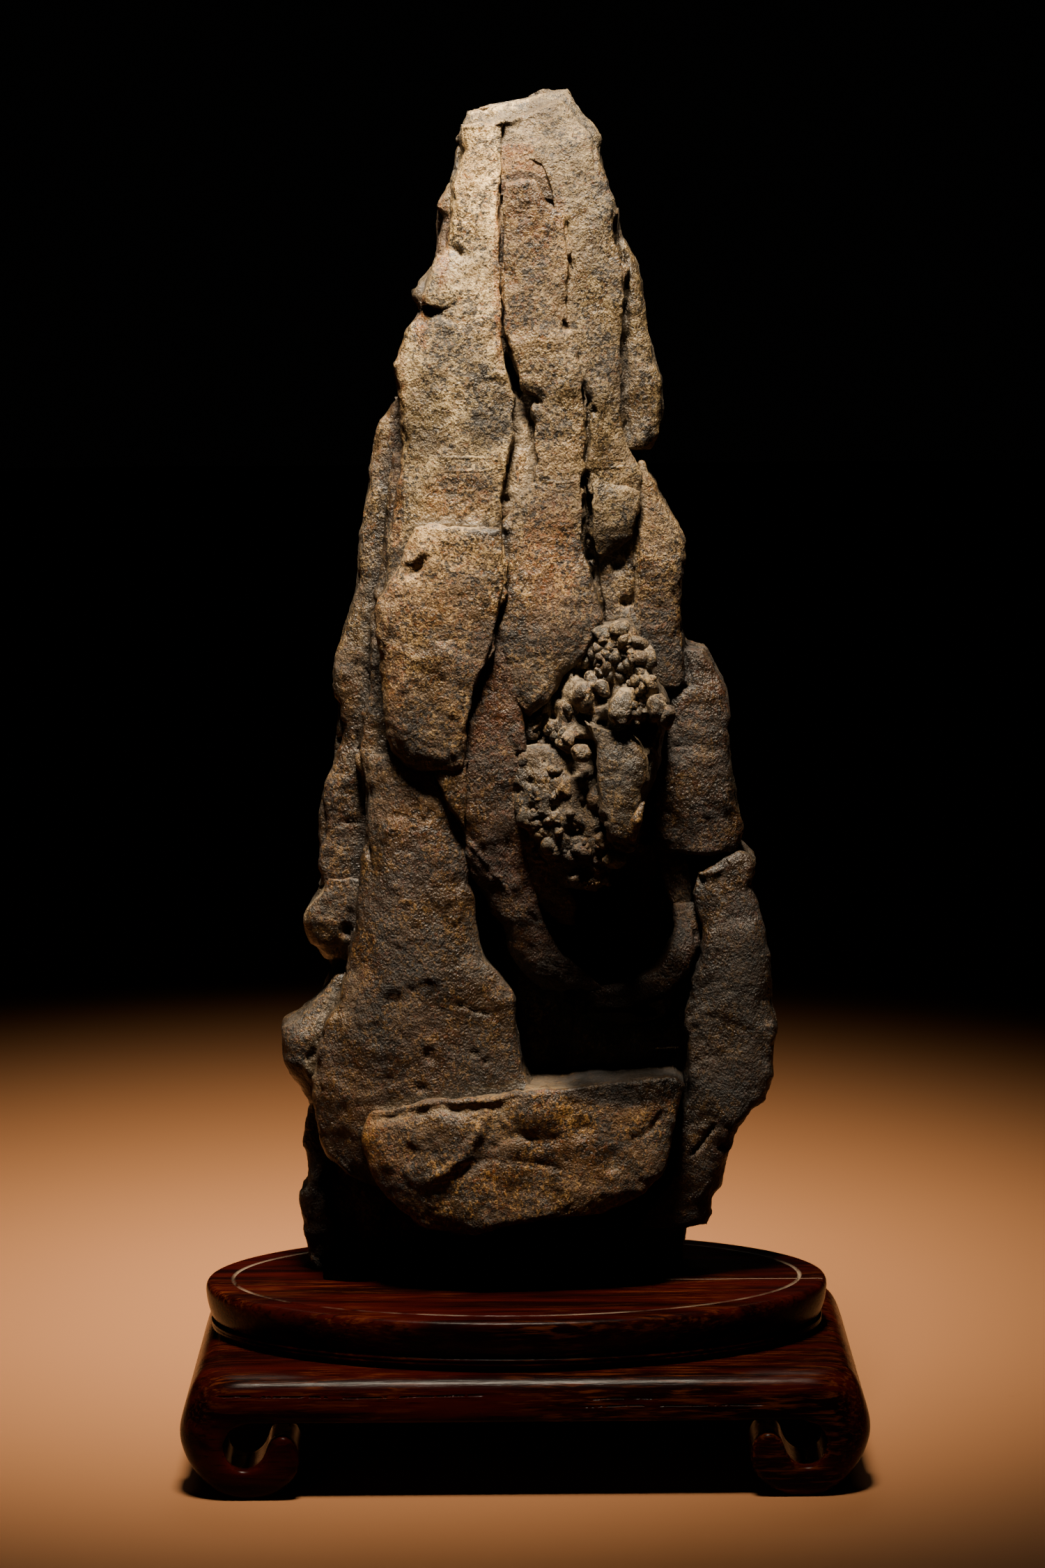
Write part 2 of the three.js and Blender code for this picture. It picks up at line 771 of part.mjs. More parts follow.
function stone() {
  const joined = [body(), ...upperFront(), ...middleFront(), ...cluster(), ...lowerFront(),
    ...sideLayers(), ...backSide()].reduce((whole, piece) => whole.add(piece));
  const pitted = hollows().reduce((whole, hollow) => whole.subtract(hollow), joined);
  const whole = nodules().reduce((sum, nodule) => sum.add(nodule), pitted);
  const ground = new THREE.BoxGeometry(400, 400, 200);
  ground.translate(0, 0, STONE_FOOT - 100);
  return toGeometry(whole.subtract(toSolid(ground)));
}

// The stand

function ellipseRing(halfWidth, halfDepth, z, sides) {
  return Array.from({ length: sides }, (_, k) => {
    const angle = 2 * Math.PI * k / sides;
    return new THREE.Vector3(BOARD_OFFSET_X + halfWidth * Math.cos(angle), halfDepth * Math.sin(angle), z);
  });
}

// An oval body from steps of inset and height, counted from the board's outline
function ovalBody(steps, sides) {
  return loft(steps.map(([inset, z]) => {
    return ellipseRing(BOARD_HALF_WIDTH - inset, BOARD_HALF_DEPTH - inset, z, sides);
  }));
}

function board() {
  const groove = GROOVE_INSET + GROOVE_WIDTH / 2;
  return ovalBody([
    [3, BOARD_BOTTOM],
    [2, BOARD_BOTTOM + 1.2],
    [0.7, BOARD_BOTTOM + 5],
    [0, BOARD_TOP - 4],
    [0.3, BOARD_TOP - 1.2],
    [1.4, BOARD_TOP],
    [GROOVE_INSET, BOARD_TOP],
    [groove, BOARD_TOP - GROOVE_DEPTH],
    [GROOVE_INSET + GROOVE_WIDTH, BOARD_TOP],
  ], OVAL_SIDES);
}

function band() {
  return ovalBody([
    [5, BAND_BOTTOM],
    [3.4, BAND_BOTTOM + 0.8],
    [1.9, BAND_BOTTOM + 1.5],
    [1.6, BAND_BOTTOM + 2.6],
    [2.2, BAND_TOP - 1],
    [5, BAND_TOP],
  ], OVAL_SIDES);
}

// Rows of the base's outer form: height, and how far the sides and the front stand in from the widest
const BASE_ROWS = [
  [0, 9, 2.5],
  [4, 5, 1],
  [13.8, 2, 0],
  [23, 0, 0],
  [34, 2.6, 0.4],
  [40, 5, 1.6],
  [43.4, 7.6, 4],
  [45, 11, 7.5],
  [BASE_TOP, 16, 12],
];
const CORNER_STEPS = 4;

function roundedRectangle(halfWidth, halfDepth, radius, z) {
  const corners = [[1, 1, 0], [-1, 1, 1], [-1, -1, 2], [1, -1, 3]];
  return corners.flatMap(([signX, signY, quarter]) => {
    return Array.from({ length: CORNER_STEPS + 1 }, (_, k) => {
      const angle = (quarter + k / CORNER_STEPS) * Math.PI / 2;
      const x = signX * (halfWidth - radius) + radius * Math.cos(angle);
      const y = signY * (halfDepth - radius) + radius * Math.sin(angle);
      return new THREE.Vector3(x, y, z);
    });
  });
}

// Front outline of the left foot, from the outside of the leg round the scroll to the apron
const SCROLL = [
  [-127, 23], [-124.2, 13.8], [-115.5, 4.6], [-106, 0], [-97, 0], [-89.2, 3.3], [-82.6, 10.5], [-82.4, 19],
  [-85.5, 23.6], [-89.5, 24.2], [-93.3, 22], [-94.3, 18.6], [-97, 13.8], [-102, 11.2], [-107.8, 13.8],
  [-109.6, 20], [-107.5, 26],
];

// The front elevation of the base, with both scrolled feet
function baseElevation() {
  const foot = new THREE.SplineCurve(SCROLL.slice(4).map(([x, z]) => new THREE.Vector2(x, z)));
  const outer = new THREE.SplineCurve(SCROLL.slice(0, 4).map(([x, z]) => new THREE.Vector2(x, z)));
  const left = [...outer.getPoints(6), ...foot.getPoints(20)];
  const apron = new THREE.Vector2(-101, APRON_BOTTOM);
  const half = [new THREE.Vector2(-140, 60), new THREE.Vector2(-140, 30), ...left, apron];
  const mirrored = half.map((point) => new THREE.Vector2(-point.x, point.y)).reverse();
  const shape = new THREE.Shape([...half, ...mirrored]);
  const geometry = new THREE.ExtrudeGeometry(shape, { depth: 200, bevelEnabled: false });
  geometry.rotateX(Math.PI / 2);
  geometry.translate(0, 100, 0);
  return toSolid(geometry);
}

function block(width, depth, low, high) {
  const geometry = new THREE.BoxGeometry(width, depth, high - low);
  geometry.translate(0, 0, (low + high) / 2);
  return toSolid(geometry);
}

function base() {
  const outer = toSolid(loft(BASE_ROWS.map(([z, side, front]) => {
    return roundedRectangle(BASE_HALF_WIDTH - side, BASE_HALF_DEPTH - front, CORNER_RADIUS, z);
  })));
  const innerDepth = 2 * (BASE_HALF_DEPTH - LEG_DEPTH);
  const betweenLegs = block(400, innerDepth, -1, APRON_BOTTOM);
  const underside = block(2 * (BASE_HALF_WIDTH - 30), innerDepth, -1, APRON_BOTTOM + 5);
  return toGeometry(outer.intersect(baseElevation()).subtract(betweenLegs).subtract(underside));
}

// The assembly

const stoneMaterial = new THREE.MeshStandardMaterial({ color: STONE_COLOUR, roughness: 0.78, metalness: 0 });
const woodMaterial = new THREE.MeshStandardMaterial({ color: WOOD_COLOUR, roughness: 0.32, metalness: 0 });

function named(name, geometry, material) {
  const mesh = new THREE.Mesh(geometry, material);
  mesh.name = name;
  return mesh;
}

const scholarStone = new THREE.Group();
scholarStone.add(
  named('stone', stone(), stoneMaterial),
  named('stand_board', board(), woodMaterial),
  named('stand_band', band(), woodMaterial),
  named('stand_base', base(), woodMaterial),
);

export default scholarStone;
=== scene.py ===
# A tall lingbi scholar stone on its carved dark rosewood stand: surfaces, materials, light and camera.
# The stone is shaped in millimetres and turned into metres when its mesh is finished.

import math
from collections import namedtuple

import bmesh
import bpy
import numpy as np
from mathutils import Matrix, Vector


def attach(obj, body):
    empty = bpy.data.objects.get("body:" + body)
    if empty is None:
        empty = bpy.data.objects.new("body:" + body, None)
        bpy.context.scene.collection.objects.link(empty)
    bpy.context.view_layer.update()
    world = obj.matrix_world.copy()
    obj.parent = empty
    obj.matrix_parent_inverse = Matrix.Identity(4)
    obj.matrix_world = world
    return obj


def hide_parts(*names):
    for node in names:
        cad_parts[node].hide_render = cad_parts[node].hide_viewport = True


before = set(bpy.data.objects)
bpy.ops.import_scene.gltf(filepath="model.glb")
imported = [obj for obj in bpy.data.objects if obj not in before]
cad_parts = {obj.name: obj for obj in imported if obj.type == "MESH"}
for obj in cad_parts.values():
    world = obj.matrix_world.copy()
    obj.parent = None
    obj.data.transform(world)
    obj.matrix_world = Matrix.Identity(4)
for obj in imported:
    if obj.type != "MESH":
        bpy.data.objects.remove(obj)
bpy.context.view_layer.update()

MM = 0.001

# The stone's outlines are drawn on the upright plane y = 0, as the eye in front of the stone sees them
EYE_DISTANCE = 1610.0
EYE_HEIGHT = 471.6
CAMERA_PITCH = 7.75
CAMERA_ROLL = -0.45
CAMERA_SIDE = 0.9
STONE_FOOT = 64.8

# How finely the stone is shaped
VOXEL = 1.0
STONE_TRIANGLES = 190000
STEP = 1.15

# Maps of the drawing: half its width, its height, and the depth that stands for an empty cell
MAP_HALF_WIDTH = 130.0
MAP_HEIGHT = 520.0
EMPTY = 1e3
# Depth that divides the stone's front from its back, and how thick the layer nearest to the eye is
FRONT_END = 12.0
FRONT_SLACK = 5.0


# Camera

def make_camera():
    data = bpy.data.cameras.new("camera")
    data.lens = 100
    data.sensor_width = 36
    data.clip_start = 0.1
    camera = bpy.data.objects.new("camera", data)
    bpy.context.scene.collection.objects.link(camera)
    tilt = Matrix.Rotation(math.pi / 2 - math.radians(CAMERA_PITCH), 4, "X")
    roll = Matrix.Rotation(math.radians(CAMERA_ROLL), 4, "Z")
    spot = Vector((CAMERA_SIDE * MM, -EYE_DISTANCE * MM, EYE_HEIGHT * MM))
    camera.matrix_world = Matrix.Translation(spot) @ tilt @ roll
    bpy.context.scene.camera = camera


# Noise

def unit(rows):
    """The rows, each scaled to a length of 1."""
    return rows / np.maximum(np.linalg.norm(rows, axis=1), 1e-9)[:, None]


def scrambled(cells, shuffle):
    """A number below 256 for each whole-numbered place, without a pattern."""
    x, y, z = cells.T
    return shuffle[(x + shuffle[(y + shuffle[z & 255]) & 255]) & 255]


def smooth_noise(points, seed):
    """Gradient noise of about -1 to 1 at each point, with one swell for each unit of length."""
    gradients = unit(np.random.default_rng(seed).normal(size=(256, 3)))
    shuffle = np.random.default_rng(seed + 1000).permutation(256)
    cell = np.floor(points).astype(np.int64)
    part = points - cell
    ease = part ** 3 * (part * (part * 6 - 15) + 10)
    total = np.zeros(len(points))
    for corner in range(8):
        step = np.array([corner & 1, corner >> 1 & 1, corner >> 2 & 1])
        weight = np.prod(np.where(step == 1, ease, 1 - ease), axis=1)
        slope = gradients[scrambled(cell + step, shuffle)]
        total += weight * np.einsum("ij,ij->i", slope, part - step)
    return total * 1.6


def layered_noise(points, length, seed, layers, stretch=(1, 1, 1)):
    """Noise whose largest swells have the given length, with finer layers on them."""
    scaled = points / np.array(stretch) / length
    total = np.zeros(len(points))
    for layer in range(layers):
        total += 0.5 ** layer * smooth_noise(scaled * 2.03 ** layer + 17.3 * layer, seed + layer)
    return total


def cell_noise(points, length, seed):
    """Distance to the nearest of scattered points, about one for each cube of the given length."""
    scaled = points / length
    cell = np.floor(scaled).astype(np.int64)
    nearest = np.full(len(points), 9.0)
    shuffle = np.random.default_rng(seed).permutation(256)
    jitter = np.random.default_rng(seed + 1).uniform(size=(256, 3))
    for i in (-1, 0, 1):
        for j in (-1, 0, 1):
            for k in (-1, 0, 1):
                at = cell + (i, j, k)
                gap = at + jitter[scrambled(at, shuffle)] - scaled
                nearest = np.minimum(nearest, np.einsum("ij,ij->i", gap, gap))
    return np.sqrt(nearest)


def ramp(values, low, high):
    """Rises smoothly from 0 at low to 1 at high."""
    share = np.clip((values - low) / (high - low), 0, 1)
    return share * share * (3 - 2 * share)


# Drawing on the plane y = 0

def place(x, z, y):
    """The point drawn at (x, z) that stands at depth y."""
    spread = (y + EYE_DISTANCE) / EYE_DISTANCE
    return (x * spread, y, EYE_HEIGHT + (z - EYE_HEIGHT) * spread)


def drawn(points):
    """Where points appear on the plane: x and z of each."""
    spread = (points[:, 1] + EYE_DISTANCE) / EYE_DISTANCE
    return points[:, 0] / spread, EYE_HEIGHT + (points[:, 2] - EYE_HEIGHT) / spread


# Meshes

def read_points(mesh):
    flat = np.empty(len(mesh.vertices) * 3)
    mesh.vertices.foreach_get("co", flat)
    return flat.reshape(-1, 3)


def write_points(mesh, points):
    mesh.vertices.foreach_set("co", np.ascontiguousarray(points).ravel())
    mesh.update()


def with_modifier(mesh, kind, **settings):
    """A copy of the mesh after one modifier."""
    obj = bpy.data.objects.new("working", mesh)
    bpy.context.scene.collection.objects.link(obj)
    modifier = obj.modifiers.new("working", kind)
    for key, value in settings.items():
        setattr(modifier, key, value)
    graph = bpy.context.evaluated_depsgraph_get()
    result = bpy.data.meshes.new_from_object(obj.evaluated_get(graph))
    bpy.data.objects.remove(obj)
    return result


# How much the normal turns along an edge that isn't eased away
SHARP_BEND = 0.03


class Surface:
    """A dense mesh of quads, as arrays."""

    def __init__(self, mesh):
        self.points = read_points(mesh)
        edges = np.empty(len(mesh.edges) * 2, dtype=np.int64)
        mesh.edges.foreach_get("vertices", edges)
        self.starts = np.concatenate([edges[0::2], edges[1::2]])
        self.ends = np.concatenate([edges[1::2], edges[0::2]])
        self.count = len(self.points)
        self.degree = np.maximum(np.bincount(self.starts, minlength=self.count), 1)
        mesh.calc_loop_triangles()
        corners = np.empty(len(mesh.loop_triangles) * 3, dtype=np.int64)
        mesh.loop_triangles.foreach_get("vertices", corners)
        self.triangles = corners.reshape(-1, 3)

    def gathered(self, weights):
        """The sum at each point of the weights of the edges that start there."""
        return np.bincount(self.starts, weights=weights, minlength=self.count)

    def averaged(self, values, rounds):
        """The values after each point has taken its neighbours' mean, a number of times."""
        columns = values.reshape(self.count, -1).T
        smoothed = []
        for column in columns:
            for _ in range(rounds):
                column = 0.5 * column + 0.5 * self.gathered(column[self.ends]) / self.degree
            smoothed.append(column)
        return np.array(smoothed).T.reshape(values.shape)

    def ease_facets(self, rounds):
        """Moves points to their neighbours' mean, but not across an edge that turns sharply."""
        for turn in range(rounds):
            if turn % 3 == 0:
                normals = self.normals(1)
                bend = 1 - np.einsum("ij,ij->i", normals[self.starts], normals[self.ends])
                weights = np.exp(-(bend / SHARP_BEND) ** 2) + 0.01
                total = self.gathered(weights)
            for axis in range(3):
                column = self.points[:, axis]
                around = self.gathered(weights * column[self.ends])
                self.points[:, axis] = 0.5 * column + 0.5 * around / total

    def normals(self, rounds=0):
        a, b, c = (self.points[self.triangles[:, k]] for k in range(3))
        faces = np.cross(b - a, c - a)
        total = np.zeros_like(self.points)
        for k in range(3):
            for axis in range(3):
                total[:, axis] += np.bincount(
                    self.triangles[:, k], weights=faces[:, axis], minlength=self.count)
        return unit(self.averaged(unit(total), rounds))


def parted(values, surfaces):
    """An array of the values of several surfaces, divided into those of each."""
    return np.split(values, np.cumsum([surface.count for surface in surfaces])[:-1])


def depth_map(points, cell=2.0):
    """The nearest depth in each small cell of the drawing, and the cell that each point is drawn in."""
    across, up = drawn(points)
    column = ((across + MAP_HALF_WIDTH) / cell).astype(int)
    row = (up / cell).astype(int)
    nearest = np.full((int(MAP_HEIGHT / cell) + 8, int(2 * MAP_HALF_WIDTH / cell) + 8), EMPTY)
    np.minimum.at(nearest, (row, column), points[:, 1])
    return nearest, row, column


def front_layer(points):
    """Which points are nearest to the eye where they are drawn, or only a little behind."""
    nearest, row, column = depth_map(points)
    return points[:, 1] < nearest[row, column] + FRONT_SLACK


# Layers of the stone: each is a closed slab that overlaps its neighbours. It has a tone and a share of rust,
# the depths of its face from top to bottom and that of its back, how far the face falls to its left and right
# edge, the radii of its left, right, top and bottom edges, and a left and a right rail that run down its
# sides. The slant sets its right edge back.
Slab = namedtuple("Slab", "tone rust depths back crown radii left right slant", defaults=(0.0,))
# How far from a slab's ends it has extra rows of points, how far down its walls their rows are, the last one
# at the back, and the rows of the caps that close its ends, as shares of the way to the back
END_ROWS = (0, 0.3, 0.8, 1.4)
WALL_ROWS = (1.2, 3.0, 8.0, 1000.0)
CAP_SHARES = (0.15, 0.5, 0.97)


def on_rail(rail, levels):
    """Places on a rail that runs down from its first point, at fractions of the rail's height."""
    heights = [-z for _, z in rail]
    down = heights[0] + (heights[-1] - heights[0]) * levels
    return np.interp(down, heights, [x for x, _ in rail]), -down


def rounding(distance, radius):
    """How far an edge of this radius has fallen back, at a distance inside the edge."""
    reach = np.clip(radius - distance, 0, radius)
    return radius - np.sqrt(radius ** 2 - reach ** 2)


def moved_back(points, reach):
    """The points, each moved by its own reach along Y."""
    return points + reach[:, None] * (0, 1, 0)


def layer(slab):
    """The points and faces of a slab, its walls straight back from its crowned face."""
    inward = 1 if slab.back > slab.depths[0] else -1
    height = slab.left[0][1] - slab.left[-1][1]
    ends = np.array(END_ROWS) / height
    levels = np.unique(np.concatenate([np.linspace(0, 1, int(height / STEP) + 2), ends, 1 - ends]))
    left_x, left_z = (values[:, None] for values in on_rail(slab.left, levels))
    right_x, right_z = (values[:, None] for values in on_rail(slab.right, levels))
    turns = np.linspace(0, 1, int((right_x - left_x).max() / STEP) + 8)[None, :]
    spots = turns - 0.5 * np.sin(2 * math.pi * turns) / (2 * math.pi)
    x = left_x + (right_x - left_x) * spots
    z = left_z + (right_z - left_z) * spots
    side = 2 * spots - 1
    fall = np.where(side < 0, slab.crown[0], slab.crown[1]) * np.abs(side) ** 3
    for gap, radius in zip((x - left_x, right_x - x, z[:1] - z, z - z[-1:]), slab.radii):
        fall = fall + rounding(gap, radius)
    depth = np.interp(levels, np.linspace(0, 1, len(slab.depths)), slab.depths)[:, None]
    y = depth + slab.slant * (spots - 0.5) + inward * fall
    face = np.stack(place(x, z, y), axis=2)

    def wall(edge):
        reach = np.abs(slab.back - edge[:, 1])
        return [moved_back(edge, inward * np.minimum(way, reach)) for way in WALL_ROWS]

    def cap(edge, shares):
        return [moved_back(edge, (slab.back - edge[:, 1]) * share) for share in shares]

    walls = np.stack(wall(face[:, -1]) + wall(face[:, 0])[::-1], axis=1)
    rings = np.concatenate([face, walls], axis=1)
    rings = np.concatenate([cap(rings[0], CAP_SHARES[::-1]), rings, cap(rings[-1], CAP_SHARES)])
    return rings.reshape(-1, 3), tube_faces(*rings.shape[:2])


def tube_faces(rows, around):
    """Faces of a closed tube: its rings of points one after another, and a face at each end."""
    faces = []
    for row in range(rows - 1):
        for k in range(around):
            a = row * around + k
            b = row * around + (k + 1) % around
            faces.append((a, b, b + around, a + around))
    faces.append(tuple(range(around))[::-1])
    faces.append(tuple(range((rows - 1) * around, rows * around)))
    return faces


# How many flat sides a lump has, and how sharp its edges are
LUMP_SIDES = 9
LUMP_SHARPNESS = 14


def lump(x, z, y, size, turn=0.0, seed=0, detail=2):
    """An uneven pebble drawn at (x, z), its middle at depth y."""
    random = np.random.default_rng(seed + 500)
    ball = bmesh.new()
    bmesh.ops.create_icosphere(ball, subdivisions=detail, radius=1)
    points = np.array([v.co for v in ball.verts])
    faces = [tuple(v.index for v in f.verts) for f in ball.faces]
    ball.free()
    sides = unit(random.normal(size=(LUMP_SIDES, 3)))
    reach = random.uniform(0.66, 1.0, LUMP_SIDES)
    facing = np.maximum(points @ sides.T, 0.05) / reach
    points *= ((facing ** LUMP_SHARPNESS).sum(axis=1) ** (-1 / LUMP_SHARPNESS))[:, None].clip(0.6, 1.15)
    points *= np.array(size)
    rotation = np.array(Matrix.Rotation(turn, 3, "Y"))
    return points @ rotation.T + np.array(place(x, z, y)), faces


# Nodules of the cluster that are drawn one by one: drawn place, depth, half sizes and turn
CLUSTER_NODULES = [
    (31, 308, -23, (5, 4, 4), 0.4), (27, 303, -24, (4.5, 4, 5), -0.5), (38, 310, -23, (5, 4, 3.5), 0.1),
    (44, 305, -24, (4.5, 4, 4), 0.6), (48, 299, -25, (4.5, 4, 6), 0.3), (25, 299, -26, (2.8, 3, 4), 0.4),
    (31, 288, -31, (2.8, 3, 4.5), -0.5), (28, 290, -30, (2.6, 3, 4.2), -0.4),
    (25, 284, -29, (2.8, 3, 4.2), 0.2), (51, 281, -35, (4.2, 4, 5.5), 0.2),
    (55, 277, -33, (3.6, 4, 5), 0.1), (46, 284, -33, (4, 4, 3.6), 0.4), (14, 281, -24, (2.8, 3, 4.2), 0.1),
    (18, 280, -25, (2.6, 3, 4), -0.2), (10, 275, -22, (4, 3, 3), 0.2), (4, 272, -20, (4, 3, 4), 0.5),
    (23, 264, -31, (4.5, 4, 3.6), 0.2), (17, 267, -28, (4.5, 4, 3), 0.5), (1, 262, -19, (4, 4, 4), 0.2),
    (25, 256, -32, (3, 3, 4), 0.7), (28, 247, -32, (4.4, 4, 5), 0.4), (16, 250, -28, (4, 4, 5), 0.2),
    (7, 248, -23, (5, 4, 5), 0.3), (2, 240, -20, (4, 4, 6), 0.1), (12, 229, -23, (5, 4, 4.5), 0.5),
    (20, 240, -27, (3.4, 4, 6), -0.3), (31, 231, -30, (5, 4, 4), 0.3), (35, 224, -27, (5, 4, 4), 0.1),
    (22, 227, -25, (5, 4, 4), 0.2), (20, 217, -21, (3, 4, 4), 0.2), (30, 217, -21, (3.2, 4, 3.4), 0.5),
    (26, 214, -19, (4, 4, 2.6), 0.1), (44, 291, -30, (3.2, 3, 3), 0.5), (41, 297, -29, (2.6, 3, 2.2), 0.2),
    (45, 294, -29, (2.4, 3, 2.2), 0.6), (41, 229, -27, (3.6, 4, 3.2), 0.2),
]
# Smaller ones are scattered between them in these boxes of the drawing: x, z, half width, half height, count
NODULE_FIELDS = [
    (35, 299, 9, 8, 46), (12, 262, 9, 14, 50), (14, 236, 10, 14, 70), (28, 222, 10, 8, 36),
    (47, 283, 6, 8, 16),
]
# The drawn ones are made smaller by this factor
NODULE_SCALE = 0.82
# A nodule's bed is looked for this far around it. A scattered one is left out where the bed is further back
# than the limit, and a drawn one is moved to its bed if that is near. Each moved one sinks in by a share of
# its depth.
BED_REACH = 2.5
BED_LIMIT = -12
BED_NEAR = 7
SHARE_SUNK = 0.3


def cluster_pebbles(form):
    """The nodules of the cluster, set half into the front layer of the stone's finished form."""
    random = np.random.default_rng(7)
    front = front_layer(form)
    across, up = drawn(form)
    spots = [(x, z, y, NODULE_SCALE * np.array(size), turn, 3) for x, z, y, size, turn in CLUSTER_NODULES]
    for x, z, half_width, half_height, count in NODULE_FIELDS:
        for _ in range(count):
            u = x + half_width * random.uniform(-1, 1)
            v = z + half_height * random.uniform(-1, 1)
            size = random.uniform(0.9, 2.4)
            shape = size * random.uniform(0.8, 1.3, 3)
            spots.append((u, v, None, shape, random.uniform(0, 3), 2))
    pebbles = []
    for x, z, y, size, turn, detail in spots:
        near = np.where(front & (np.hypot(across - x, up - z) < BED_REACH))[0]
        bed = float(np.median(form[near, 1])) if len(near) else 99
        if y is None and bed > BED_LIMIT:
            continue
        if y is None or abs(bed - y) < BED_NEAR:
            y = bed + SHARE_SUNK * size[1]
        pebbles.append((y, size[1], lump(x, z, y, size, turn, seed=len(pebbles), detail=detail)))
    return pebbles


